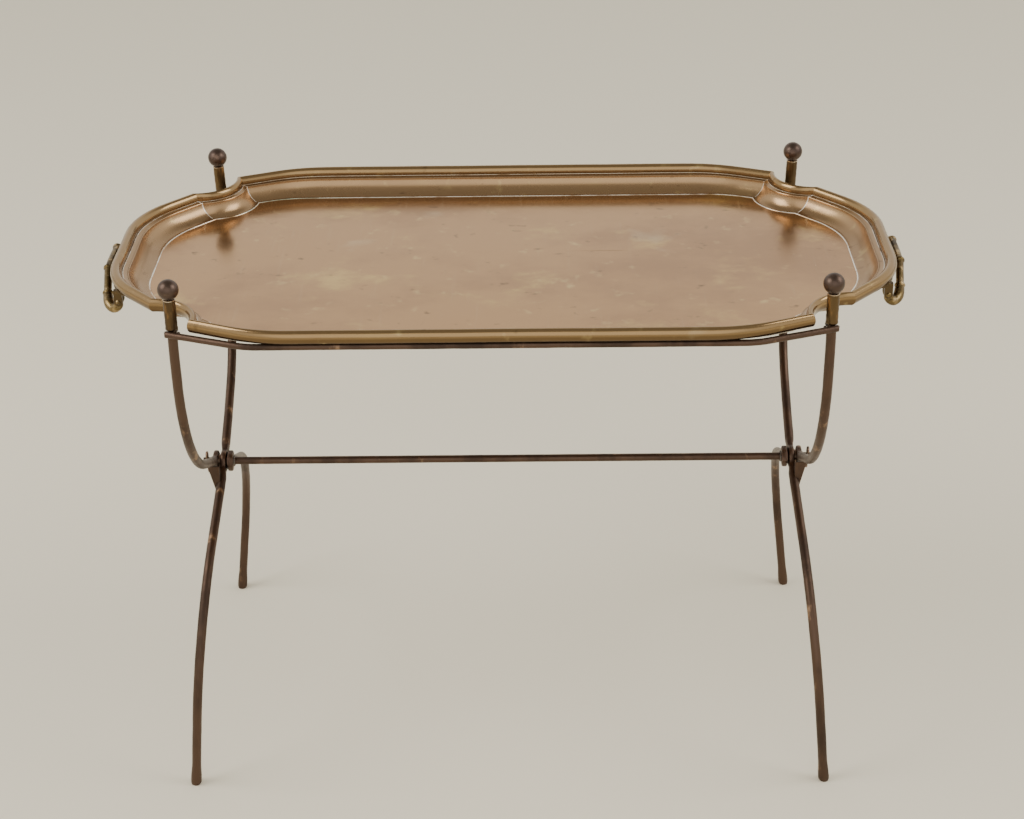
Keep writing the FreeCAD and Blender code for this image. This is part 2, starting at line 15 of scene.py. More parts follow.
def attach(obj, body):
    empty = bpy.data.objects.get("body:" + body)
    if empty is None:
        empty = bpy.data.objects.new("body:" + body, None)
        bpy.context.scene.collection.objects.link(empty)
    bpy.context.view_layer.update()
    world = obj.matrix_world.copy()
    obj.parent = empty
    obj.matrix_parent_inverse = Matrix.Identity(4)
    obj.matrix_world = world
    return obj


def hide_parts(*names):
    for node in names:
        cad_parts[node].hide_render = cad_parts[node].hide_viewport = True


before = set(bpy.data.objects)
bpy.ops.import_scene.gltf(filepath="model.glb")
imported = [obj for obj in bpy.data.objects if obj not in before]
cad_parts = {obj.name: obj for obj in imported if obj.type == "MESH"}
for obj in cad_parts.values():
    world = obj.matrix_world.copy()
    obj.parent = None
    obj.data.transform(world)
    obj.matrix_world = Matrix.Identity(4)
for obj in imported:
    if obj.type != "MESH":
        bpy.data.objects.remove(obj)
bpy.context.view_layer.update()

MM = 0.001

# %% [markdown]
# ## Camera, light and floor
# The camera comes first, because every later choice is judged through it. It stands a little over two metres
# in front of the table and looks down at it. The light is that of a plain studio: a pale world, bright all
# round at eye height and dimmer overhead, and two large soft lights at the sides. Polished brass shows what
# it mirrors, so the dim part overhead gives the hollow wall of the tray its dark lower half, helped by
# painted shade and a darker tone painted on the wall.

# %% Camera
CAMERA_PLACE = Vector((0.046, -2.330, 1.685))
CAMERA_DOWN, CAMERA_LEFT, CAMERA_ROLL = math.radians(28.36), math.radians(0.94), math.radians(0.95)
camera_data = bpy.data.cameras.new("camera")
camera_data.sensor_width = 36.0
camera_data.lens = 71.0
camera = bpy.data.objects.new("camera", camera_data)
bpy.context.scene.collection.objects.link(camera)
camera.location = CAMERA_PLACE
look = Matrix.Rotation(CAMERA_LEFT, 4, "Z") @ Matrix.Rotation(math.pi / 2 - CAMERA_DOWN, 4, "X")
camera.matrix_world = Matrix.Translation(CAMERA_PLACE) @ look @ Matrix.Rotation(-CAMERA_ROLL, 4, "Z")
bpy.context.scene.camera = camera
print("camera distance to the tray:", round((CAMERA_PLACE - Vector((0, 0, 0.65))).length, 2), "m")


# %% Soft studio light
def soft_light(name, place, aim, size, watts, colour=(1.0, 0.97, 0.92)):
    """One square area light that looks at a point."""
    data = bpy.data.lights.new(name, "AREA")
    data.shape, data.size, data.energy, data.color = "SQUARE", size, watts, colour
    lamp = bpy.data.objects.new(name, data)
    bpy.context.scene.collection.objects.link(lamp)
    lamp.location = place
    lamp.rotation_euler = (Vector(aim) - Vector(place)).to_track_quat("-Z", "Y").to_euler()
    return lamp


soft_light("left_light", (-3.3, -0.9, 3.2), (0, -0.3, 0.3), 2.6, 105)
soft_light("right_light", (3.3, -0.5, 3.2), (0, -0.3, 0.3), 2.4, 75)

world = bpy.data.worlds.new("studio")
bpy.context.scene.world = world
world.use_nodes = True
sky = world.node_tree
sky.nodes.clear()
where = sky.nodes.new("ShaderNodeTexCoord")
toward = sky.nodes.new("ShaderNodeVectorMath")
toward.operation = "DOT_PRODUCT"
toward.inputs[1].default_value = (0.0, -0.14, 0.99)
ramp = sky.nodes.new("ShaderNodeValToRGB")
ramp.color_ramp.interpolation = "EASE"
ramp.color_ramp.elements[0].position = 0.45
ramp.color_ramp.elements[0].color = (1.0, 0.965, 0.90, 1)
ramp.color_ramp.elements[1].position = 0.74
ramp.color_ramp.elements[1].color = (0.33, 0.305, 0.265, 1)
ahead = sky.nodes.new("ShaderNodeVectorMath")
ahead.operation = "DOT_PRODUCT"
ahead.inputs[1].default_value = (0.0, -0.914, 0.407)
glow = sky.nodes.new("ShaderNodeMapRange")
glow.interpolation_type = "SMOOTHSTEP"
glow.inputs["From Min"].default_value = 0.84
glow.inputs["From Max"].default_value = 0.96
brighter = sky.nodes.new("ShaderNodeMix")
brighter.data_type = "RGBA"
brighter.inputs[7].default_value = (1.45, 1.40, 1.31, 1)
background = sky.nodes.new("ShaderNodeBackground")
background.inputs["Strength"].default_value = 1.18
output = sky.nodes.new("ShaderNodeOutputWorld")
sky.links.new(where.outputs["Generated"], toward.inputs[0])
sky.links.new(toward.outputs["Value"], ramp.inputs["Fac"])
sky.links.new(where.outputs["Generated"], ahead.inputs[0])
sky.links.new(ahead.outputs["Value"], glow.inputs["Value"])
sky.links.new(glow.outputs["Result"], brighter.inputs[0])
sky.links.new(ramp.outputs["Color"], brighter.inputs[6])
sky.links.new(brighter.outputs[2], background.inputs["Color"])
sky.links.new(background.outputs[0], output.inputs["Surface"])

# %% Pale floor
bpy.ops.mesh.primitive_plane_add(size=30, location=(0, 6, 0))
floor = bpy.context.object
floor.name = "floor"
paper = bpy.data.materials.new("pale_paper")
paper.use_nodes = True
paper.node_tree.nodes["Principled BSDF"].inputs["Base Color"].default_value = (0.89, 0.84, 0.69, 1)
paper.node_tree.nodes["Principled BSDF"].inputs["Roughness"].default_value = 0.9
paper.node_tree.nodes["Principled BSDF"].inputs["Specular IOR Level"].default_value = 0.1
floor.data.materials.append(paper)
print("stage ready")

# %% [markdown]
# ## Shared surface effects
# Old metal is never one colour. Three effects turn up in nearly every finish here, so each is a shader node
# group with named inputs: a cloudy mottle of patina, fine scratches, and the pale or dark matter that settles
# in a crease. On the tray the same pale lines also carry a painted highlight. A piece's own material mixes
# them and keeps its shader to itself.


# %% Helpers for node groups
def new_group(name, inputs, outputs):
    """A shader node group with float or colour sockets; returns (group, input node, output node)."""
    group = bpy.data.node_groups.new(name, "ShaderNodeTree")
    for label, kind, value in inputs:
        socket = group.interface.new_socket(label, in_out="INPUT", socket_type=kind)
        if value is not None:
            socket.default_value = value
    for label, kind in outputs:
        group.interface.new_socket(label, in_out="OUTPUT", socket_type=kind)
    return group, group.nodes.new("NodeGroupInput"), group.nodes.new("NodeGroupOutput")


def math_node(tree, operation, first, second, clamp=False):
    """A Math node; each operand is a socket or a number."""
    node = tree.nodes.new("ShaderNodeMath")
    node.operation = operation
    node.use_clamp = clamp
    for index, value in enumerate((first, second)):
        if hasattr(value, "is_linked"):
            tree.links.new(value, node.inputs[index])
        else:
            node.inputs[index].default_value = value
    return node.outputs[0]


def mix_colour(tree, share, first, second):
    """A colour Mix node; share and colours are sockets or values."""
    node = tree.nodes.new("ShaderNodeMix")
    node.data_type = "RGBA"
    for name, value in ((0, share), (6, first), (7, second)):
        if hasattr(value, "is_linked"):
            tree.links.new(value, node.inputs[name])
        else:
            node.inputs[name].default_value = value
    return node.outputs[2]


FLOAT, COLOUR, VECTOR = "NodeSocketFloat", "NodeSocketColor", "NodeSocketVector"


# %% Patina mottle
def build_mottle():
    """Cloudy mask from two noises, for patina that has built up unevenly."""
    group, start, end = new_group("patina_mottle", [("Vector", VECTOR, None), ("Scale", FLOAT, 8.0),
                                                    ("Low", FLOAT, 0.35), ("High", FLOAT, 0.65)],
                                  [("Mask", FLOAT), ("Fine", FLOAT)])
    cloud = group.nodes.new("ShaderNodeTexNoise")
    cloud.inputs["Detail"].default_value = 5.0
    cloud.inputs["Roughness"].default_value = 0.62
    fine = group.nodes.new("ShaderNodeTexNoise")
    fine.inputs["Detail"].default_value = 3.0
    spread = group.nodes.new("ShaderNodeMapRange")
    spread.interpolation_type = "SMOOTHSTEP"
    for texture in (cloud, fine):
        group.links.new(start.outputs["Vector"], texture.inputs["Vector"])
    group.links.new(start.outputs["Scale"], cloud.inputs["Scale"])
    group.links.new(math_node(group, "MULTIPLY", start.outputs["Scale"], 14.0), fine.inputs["Scale"])
    group.links.new(cloud.outputs[0], spread.inputs["Value"])
    group.links.new(start.outputs["Low"], spread.inputs["From Min"])
    group.links.new(start.outputs["High"], spread.inputs["From Max"])
    group.links.new(spread.outputs["Result"], end.inputs["Mask"])
    group.links.new(fine.outputs[0], end.inputs["Fine"])
    return group


# %% Fine scratches
def build_scratches():
    """Thin scattered lines: a noise stretched hard in two directions."""
    group, start, end = new_group("fine_scratches", [("Vector", VECTOR, None), ("Scale", FLOAT, 40.0),
                                                     ("Amount", FLOAT, 0.5)], [("Mask", FLOAT)])
    masks = []
    for turn, stretch in ((0.35, (1.0, 0.03, 1.0)), (1.25, (1.0, 0.04, 1.0)), (2.3, (1.0, 0.05, 1.0))):
        place = group.nodes.new("ShaderNodeMapping")
        place.inputs["Rotation"].default_value = (0.0, 0.0, turn)
        place.inputs["Scale"].default_value = stretch
        lines = group.nodes.new("ShaderNodeTexNoise")
        lines.inputs["Detail"].default_value = 2.0
        sharp = group.nodes.new("ShaderNodeMapRange")
        sharp.inputs["From Min"].default_value = 0.66
        sharp.inputs["From Max"].default_value = 0.74
        group.links.new(start.outputs["Vector"], place.inputs["Vector"])
        group.links.new(place.outputs[0], lines.inputs["Vector"])
        group.links.new(math_node(group, "MULTIPLY", start.outputs["Scale"], 4.0), lines.inputs["Scale"])
        group.links.new(lines.outputs[0], sharp.inputs["Value"])
        masks.append(sharp.outputs["Result"])
    both = math_node(group, "MAXIMUM", math_node(group, "MAXIMUM", masks[0], masks[1]), masks[2])
    group.links.new(math_node(group, "MULTIPLY", both, start.outputs["Amount"], True), end.inputs["Mask"])
    return group


# %% Matter and painted highlight in a crease
def build_crease():
    """Breaks a painted vertex mask up with noise, so that a line, of residue and painted highlight alike,
    looks patchy and not drawn.
    """
    group, start, end = new_group("crease_matter_and_highlight", [("Vector", VECTOR, None), ("Line", FLOAT, 0.0),
                                                    ("Scale", FLOAT, 60.0), ("Cover", FLOAT, 0.5)],
                                  [("Mask", FLOAT)])
    patches = group.nodes.new("ShaderNodeTexNoise")
    patches.inputs["Detail"].default_value = 4.0
    spread = group.nodes.new("ShaderNodeMapRange")
    group.links.new(start.outputs["Vector"], patches.inputs["Vector"])
    group.links.new(start.outputs["Scale"], patches.inputs["Scale"])
    group.links.new(patches.outputs[0], spread.inputs["Value"])
    group.links.new(math_node(group, "SUBTRACT", 0.75,
                              math_node(group, "MULTIPLY", start.outputs["Cover"], 0.5)),
                    spread.inputs["From Min"])
    group.links.new(math_node(group, "SUBTRACT", 0.95,
                              math_node(group, "MULTIPLY", start.outputs["Cover"], 0.5)),
                    spread.inputs["From Max"])
    group.links.new(math_node(group, "MULTIPLY", spread.outputs["Result"], start.outputs["Line"], True),
                    end.inputs["Mask"])
    return group


MOTTLE, SCRATCHES, CREASE = build_mottle(), build_scratches(), build_crease()
print("shader groups:", [group.name for group in (MOTTLE, SCRATCHES, CREASE)])


# %% [markdown]
# ## Metal finishes
# Brass and bronze are metals, so the colour is the colour of the mirror and the roughness tells how clear
# it is. All the finishes share one recipe: a base tone, a darker or redder tone where the mottle is strong,
# a rubbed tone on a second mottle, scratches that only change the roughness, and a low bump. Only the numbers
# differ. The tray's recipe also reads five vertex masks that its builder paints: line, wall, bead, shade and
# green.

# %% The metal recipe
def use_group(tree, group, vector, **values):
    """Place a node group, give it its vector and set its named inputs."""
    node = tree.nodes.new("ShaderNodeGroup")
    node.node_tree = group
    tree.links.new(vector, node.inputs["Vector"])
    for label, value in values.items():
        if hasattr(value, "is_linked"):
            tree.links.new(value, node.inputs[label])
        else:
            node.inputs[label].default_value = value
    return node


def painted(tree, name):
    """The vertex mask of that name."""
    node = tree.nodes.new("ShaderNodeAttribute")
    node.attribute_name = name
    return node.outputs["Fac"]


DEEP_LOW, DEEP_HIGH = 0.42, 0.66    # where the mottle turns from the base tone to the deep one


def metal(name, base, deep, rubbed, rough, scale=9.0, rub_span=(0.56, 0.70),
          stretch=(1, 1, 1), bump=0.12, metallic=1.0, masks=False, scratch=0.3):
    """One aged metal. Colours are linear; rough is (polished, dull); stretch lengthens the mottle."""
    material = bpy.data.materials.new(name)
    material.use_nodes = True
    tree = material.node_tree
    shader = tree.nodes["Principled BSDF"]
    shader.inputs["Metallic"].default_value = metallic
    coords = tree.nodes.new("ShaderNodeTexCoord")
    place = tree.nodes.new("ShaderNodeMapping")
    place.inputs["Scale"].default_value = stretch
    tree.links.new(coords.outputs["Object"], place.inputs["Vector"])
    deep_mask = use_group(tree, MOTTLE, place.outputs[0], Scale=scale, Low=DEEP_LOW, High=DEEP_HIGH)
    shifted = tree.nodes.new("ShaderNodeMapping")
    shifted.inputs["Location"].default_value = (3.1, 7.7, 1.3)
    tree.links.new(place.outputs[0], shifted.inputs["Vector"])
    rub_mask = use_group(tree, MOTTLE, shifted.outputs[0], Scale=scale * 2.6, Low=rub_span[0],
                         High=rub_span[1])
    marks = use_group(tree, SCRATCHES, coords.outputs["Object"], Scale=38.0, Amount=scratch)
    colour = mix_colour(tree, deep_mask.outputs["Mask"], (*base, 1), (*deep, 1))
    colour = mix_colour(tree, rub_mask.outputs["Mask"], colour, (*rubbed, 1))
    dull = math_node(tree, "MULTIPLY", deep_mask.outputs["Mask"], rough[1] - rough[0])
    dull = math_node(tree, "ADD", dull, rough[0])
    dull = math_node(tree, "ADD", dull, math_node(tree, "MULTIPLY", deep_mask.outputs["Fine"], 0.06))
    dull = math_node(tree, "ADD", dull, math_node(tree, "MULTIPLY", marks.outputs["Mask"], 0.10))
    if masks:
        colour = mix_colour(tree, math_node(tree, "MULTIPLY", marks.outputs["Mask"], 0.12), colour,
                            SPECK_TONE)
        wall, bead, line = painted(tree, "wall"), painted(tree, "bead"), painted(tree, "line")
        dull = math_node(tree, "ADD", dull, math_node(tree, "MULTIPLY", wall, 0.10))
        # The hollow wall takes a darker tone: partly patina in the hollow, partly painted shade.
        colour = mix_colour(tree, math_node(tree, "MULTIPLY", wall, 0.75), colour, WALL_TONE)
        colour = mix_colour(tree, math_node(tree, "MULTIPLY", bead, 0.80), colour, BEAD_TONE)
        # Painted shade: the shade mask darkens the foot of the hollow wall, the groove, the inner and lower
        # sides of the rolled rim, and the faces under the tray.
        colour = mix_colour(tree, painted(tree, "shade"), colour, PAINTED_SHADE_AND_PIT_TONE)
        # The pale line mask: residue along the fine lines and creases of the tray, and a painted highlight on
        # the same lines.
        residue_and_highlight = use_group(tree, CREASE, coords.outputs["Object"], Line=line, Scale=34.0, Cover=0.90)
        colour = mix_colour(tree, residue_and_highlight.outputs["Mask"], colour, RESIDUE_AND_HIGHLIGHT_TONE)
        green = use_group(tree, CREASE, coords.outputs["Object"], Line=painted(tree, "green"), Scale=18.0,
                          Cover=0.7)
        colour = mix_colour(tree, green.outputs["Mask"], colour, VERDIGRIS_TONE)
        specks = use_group(tree, CREASE, coords.outputs["Object"], Line=0.40, Scale=13.0, Cover=0.16)
        colour = mix_colour(tree, specks.outputs["Mask"], colour, SPECK_TONE)
        flecks = use_group(tree, CREASE, coords.outputs["Object"], Line=0.55, Scale=46.0, Cover=0.24)
        colour = mix_colour(tree, flecks.outputs["Mask"], colour, FLECK_TONE)
        # Dark pits in the metal, in the same tone as the painted shade.
        pits = use_group(tree, CREASE, shifted.outputs[0], Line=1.0, Scale=58.0, Cover=0.17)
        colour = mix_colour(tree, pits.outputs["Mask"], colour, PAINTED_SHADE_AND_PIT_TONE)
        matt = math_node(tree, "MULTIPLY", residue_and_highlight.outputs["Mask"], 0.75)
        tree.links.new(math_node(tree, "SUBTRACT", metallic, matt, True), shader.inputs["Metallic"])
    tree.links.new(colour, shader.inputs["Base Color"])
    tree.links.new(dull, shader.inputs["Roughness"])
    relief = tree.nodes.new("ShaderNodeBump")
    relief.inputs["Strength"].default_value = bump
    relief.inputs["Distance"].default_value = 0.0006
    height = math_node(tree, "ADD", deep_mask.outputs["Fine"],
                       math_node(tree, "MULTIPLY", deep_mask.outputs["Mask"], 1.5))
    tree.links.new(height, relief.inputs["Height"])
    tree.links.new(relief.outputs["Normal"], shader.inputs["Normal"])
    return material


# %% The finishes of this table
# darker tone of the hollow wall: part patina, part painted shade
WALL_TONE = (0.345, 0.232, 0.130, 1)
BEAD_TONE = (0.262, 0.178, 0.084, 1)
# the colour of painted shade, also used for dark pits
PAINTED_SHADE_AND_PIT_TONE = (0.050, 0.028, 0.014, 1)
# pale residue, and the painted highlight along the same fine lines
RESIDUE_AND_HIGHLIGHT_TONE = (0.93, 0.89, 0.79, 1)
VERDIGRIS_TONE = (0.38, 0.55, 0.42, 1)
SPECK_TONE = (0.66, 0.60, 0.40, 1)
FLECK_TONE = (0.70, 0.56, 0.26, 1)
TRAY = metal("tray_brass", (0.450, 0.272, 0.132), (0.365, 0.215, 0.110), (0.57, 0.395, 0.160), (0.13, 0.19),
             scale=4.0,
             stretch=(0.85, 1.15, 1), rub_span=(0.54, 0.76), bump=0.015, metallic=0.93, masks=True,
             scratch=0.5)
IRON = metal("stand_iron", (0.094, 0.058, 0.040), (0.056, 0.036, 0.026), (0.31, 0.195, 0.115), (0.36, 0.52),
             scale=16.0,
             rub_span=(0.60, 0.74), stretch=(1, 1, 0.35), bump=0.35, metallic=0.85)
FINIAL = metal("finial_bronze", (0.088, 0.060, 0.047), (0.060, 0.040, 0.034), (0.15, 0.10, 0.075),
               (0.33, 0.42), scale=18.0,
               bump=0.06, metallic=0.9, scratch=0.2)
FERRULE = metal("ferrule_brass", (0.115, 0.075, 0.036), (0.050, 0.032, 0.020), (0.46, 0.25, 0.085),
                (0.28, 0.42), scale=20.0,
                rub_span=(0.54, 0.70), stretch=(1, 1, 0.22), bump=0.2, metallic=0.95)
RING = metal("ring_brass", (0.62, 0.52, 0.40), (0.40, 0.30, 0.20), (0.75, 0.68, 0.58), (0.22, 0.36),
             scale=60.0, bump=0.1)
HANDLE = metal("handle_brass", (0.170, 0.120, 0.050), (0.060, 0.042, 0.020), (0.40, 0.29, 0.15), (0.24, 0.40),
               scale=26.0,
               rub_span=(0.50, 0.66), bump=0.3)
LUG = metal("lug_brass", (0.10, 0.068, 0.035), (0.040, 0.028, 0.018), (0.30, 0.21, 0.10), (0.32, 0.50),
            scale=34.0, bump=0.4)
WIRE = metal("plain_wire", (0.24, 0.165, 0.120), (0.10, 0.070, 0.055), (0.42, 0.31, 0.23), (0.32, 0.48),
             scale=50.0, bump=0.3)
SOLDER = metal("grey_solder", (0.17, 0.150, 0.135), (0.085, 0.070, 0.060), (0.34, 0.31, 0.28), (0.38, 0.55),
               scale=60.0,
               bump=0.6, metallic=0.8)
print("finishes:", [material.name for material in bpy.data.materials])


# %% [markdown]
# ## Tools for making metal pieces
# Nearly every piece is a set of rings joined by quads: a tray is rings of its outline, a rod is rings along
# its path, and a ball is rings round an axis. So one function turns rings into a closed mesh, and the others
# only work out where the rings go. Sharp bends between faces stay sharp, and the rest is shaded smooth.

# %% Rings to a closed mesh
def new_piece(name, mesh, material):
    """Link a mesh as a piece whose object sits at the origin."""
    mesh.materials.clear()
    mesh.materials.append(material)
    piece = bpy.data.objects.new(name, mesh)
    bpy.context.scene.collection.objects.link(piece)
    return piece


def mesh_from_rings(name, rings, material, sharp_degrees=38.0):
    """Join equal rings of points by quads, close both ends, and point the faces outwards."""
    count = len(rings[0])
    points = [point for ring in rings for point in ring]
    faces = []
    for row in range(len(rings) - 1):
        for column in range(count):
            after = (column + 1) % count
            faces.append((row * count + column, row * count + after, (row + 1) * count + after,
                          (row + 1) * count + column))
    faces.append(tuple(range(count))[::-1])
    faces.append(tuple(range((len(rings) - 1) * count, len(rings) * count)))
    mesh = bpy.data.meshes.new(name)
    mesh.from_pydata([tuple(point) for point in points], [], faces)
    shape = bmesh.new()
    shape.from_mesh(mesh)
    bmesh.ops.recalc_face_normals(shape, faces=shape.faces)
    limit = math.radians(sharp_degrees)
    for face in shape.faces:
        face.smooth = True
    for edge in shape.edges:
        if len(edge.link_faces) == 2 and edge.calc_face_angle(0.0) > limit:
            edge.smooth = False
    shape.to_mesh(mesh)
    shape.free()
    return new_piece(name, mesh, material)


def mirrored(piece, name, axis=0):
    """The same piece on the other side, with its faces turned to point outwards again."""
    mesh = piece.data.copy()
    scale = Vector((1, 1, 1))
    scale[axis] = -1
    mesh.transform(Matrix.Diagonal((*scale, 1)))
    mesh.flip_normals()
    return new_piece(name, mesh, piece.data.materials[0])


def smooth_step(low, high, value):
    share = min(1.0, max(0.0, (value - low) / (high - low)))
    return share * share * (3 - 2 * share)


# %% [markdown]
# ## The rods
# A smith bent each rod over a former, so its side view is a straight stretch, one long arc and another
# straight stretch. Where the rods cross, each is hammered flat into an eye. A bar is therefore made as
# rings along its path, and each ring has its own two half widths and its own squareness. Small noise moves
# the rings about, because forged bar is never quite even.

# %% Bars with a changing section
def bar(name, path, side, section, material, sides=28, uneven=0.00025):
    """A bar along path. side is the direction of its first half width; section(distance, length) gives
    (half width along side, half width across, squareness 2 = round)."""
    distances = [0.0]
    for first, second in zip(path, path[1:]):
        distances.append(distances[-1] + (second - first).length)
    rings = []
    for index, point in enumerate(path):
        before, after = path[max(index - 1, 0)], path[min(index + 1, len(path) - 1)]
        along = (after - before).normalized()
        across = along.cross(side).normalized()
        level = across.cross(along).normalized()
        wide, deep, square = section(distances[index], distances[-1])
        shift = noise.noise_vector(point * 22.0) * uneven
        ring = []
        for step in range(sides):
            angle = 2 * math.pi * step / sides
            c, s = math.cos(angle), math.sin(angle)
            swell = 1.0 + 0.03 * noise.noise(point * 60.0 + Vector((c, s, 0)) * 0.8)
            x = wide * math.copysign(abs(c) ** (2 / square), c)
            y = deep * math.copysign(abs(s) ** (2 / square), s)
            ring.append(point + shift + (level * x + across * y) * swell)
        rings.append(ring)
    return mesh_from_rings(name, rings, material, sharp_degrees=60.0)


# %% Paths of the stand's rods
AXLE = Vector((0, 0, 353.5 * MM))
ROD = 6.0 * MM
UPPER_REACH, UPPER_ARC_TOP, UPPER_ARC = 210 * MM, 243.5 * MM, 222 * MM
LOWER_REACH, LOWER_ARC_TOP, LOWER_ARC = 233 * MM, 247.5 * MM, 210 * MM


def limb(reach, height, arc_level, radius, step=3.5 * MM):
    """Side view of a limb from the eye outwards: (reach, height) pairs along straight, arc, straight."""
    low, high = 0.2, 1.5
    for _ in range(50):
        angle = (low + high) / 2
        if arc_level - radius * math.sin(angle) - (reach
                                                   - radius * (1 - math.cos(angle))) / math.tan(angle) > 0:
            high = angle
        else:
            low = angle
    knee = (reach - radius * (1 - math.cos(angle)), arc_level - radius * math.sin(angle))
    run = math.hypot(*knee)
    points = [(knee[0] * i * step / run, knee[1] * i * step / run) for i in range(int(run / step) + 1)]
    count = int(radius * angle / step)
    for i in range(count + 1):
        turn = angle * (1 - i / count)
        points.append((reach - radius * (1 - math.cos(turn)), arc_level - radius * math.sin(turn)))
    count = int((height - arc_level) / step)
    points += [(reach, arc_level + (height - arc_level) * (i + 1) / count) for i in range(count)]
    return points


def limb_points(pairs, eye_x, end_x, end_height, front, down):
    """Stand a side view up in space: it leans outwards from its eye towards end_x."""
    lean = (end_x - eye_x) / end_height
    way_y, way_z = (-1 if front else 1), (-1 if down else 1)
    return [Vector((eye_x + lean * z, way_y * y, AXLE.z + way_z * z)) for y, z in pairs]


UPPER = limb(UPPER_REACH, 322 * MM, UPPER_ARC_TOP, UPPER_ARC)
LOWER = limb(LOWER_REACH, 354 * MM, LOWER_ARC_TOP, LOWER_ARC)
print("upper limb points:", len(UPPER), "lower limb points:", len(LOWER))

# %% Sections: round rod, flat eye, spread foot
EYE_REACH = 14 * MM


def forged(eye_at, half_thick, foot_at=None):
    """Section rule for a rod with an eye at one distance and perhaps a foot at another."""
    def rule(distance, length):
        off = abs(distance - eye_at)
        flat = 1 - smooth_step(15 * MM, 29 * MM, off)
        wide = ROD + (half_thick - ROD) * flat
        deep = ROD
        if off < EYE_REACH:
            deep = max(deep, math.sqrt(EYE_REACH ** 2 - off ** 2))
        neck = math.exp(-((off - 19 * MM) / (5 * MM)) ** 2)
        deep += neck * 1.2 * MM
        if foot_at is not None:
            near = abs(distance - foot_at)
            swell = 1.0 + 0.17 * (1 - smooth_step(10 * MM, 34 * MM,
                                                  near)) - 0.16 * (1 - smooth_step(0, 4.5 * MM, near))
            wide, deep = wide * swell, deep * swell
        return wide, deep, 2.0 + 3.0 * flat
    return rule


def path_length(points):
    return sum((b - a).length for a, b in zip(points, points[1:]))


def stand_on_floor(piece):
    for vertex in piece.data.vertices:
        vertex.co.z = max(vertex.co.z, 0.0)


SIDE = Vector((1, 0, 0))
SIDE_EYE_X, UPRIGHT_EYE_X, LEG_EYE_X, TOP_X = 376 * MM, 386.5 * MM, 367.5 * MM, 385 * MM
TOP_HEIGHT = 348.5 * MM

# %% Side rods, front uprights and rear legs
rear_top = limb_points(UPPER, SIDE_EYE_X, TOP_X, TOP_HEIGHT, False, False)
front_leg = limb_points(LOWER, SIDE_EYE_X, 411 * MM, 353.5 * MM, True, True)
whole = rear_top[::-1] + front_leg[1:]
side_rod = bar("side_rod_right_forged", whole, SIDE,
               forged(path_length(rear_top), 4 * MM, path_length(whole)), IRON)

front_top = limb_points(UPPER, UPRIGHT_EYE_X, TOP_X, TOP_HEIGHT, True, False)
beyond = [front_top[0] * 2 - front_top[i] for i in (4, 3, 2, 1)]
whole = beyond + front_top
front_upright = bar("front_upright_right_forged", whole, SIDE,
                    forged(path_length(beyond + front_top[:1]), 3.5 * MM), IRON)

leg = limb_points(LOWER, LEG_EYE_X, 409 * MM, 353.5 * MM, False, True)
beyond = [leg[0] * 2 - leg[i] for i in (4, 3, 2, 1)]
whole = beyond + leg
rear_leg = bar("rear_leg_right_forged", whole, SIDE,
               forged(path_length(beyond + leg[:1]), 4 * MM, path_length(whole)), IRON)

for piece, node, body in ((side_rod, "side_rod", "stand_fixed_half"),
                          (front_upright, "front_upright", "stand_folding_half"),
                          (rear_leg, "rear_leg", "stand_folding_half")):
    stand_on_floor(piece)
    other = mirrored(piece, node + "_left_forged")
    for each, hand in ((piece, "_right"), (other, "_left")):
        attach(each, body)
        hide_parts(node + hand)
print("rod faces:", len(side_rod.data.polygons), len(front_upright.data.polygons),
      len(rear_leg.data.polygons))

# %% [markdown]
# ## Rails, stretcher and cotter pins
# These are plain wire and bar that follow a line, so one Geometry Nodes tree makes them all: it sweeps a
# circle along a curve, roughens it a little, shades it and gives it its metal. Each use has its own radius
# and unevenness. The result is turned into a plain mesh, because the piece must carry no live modifier.


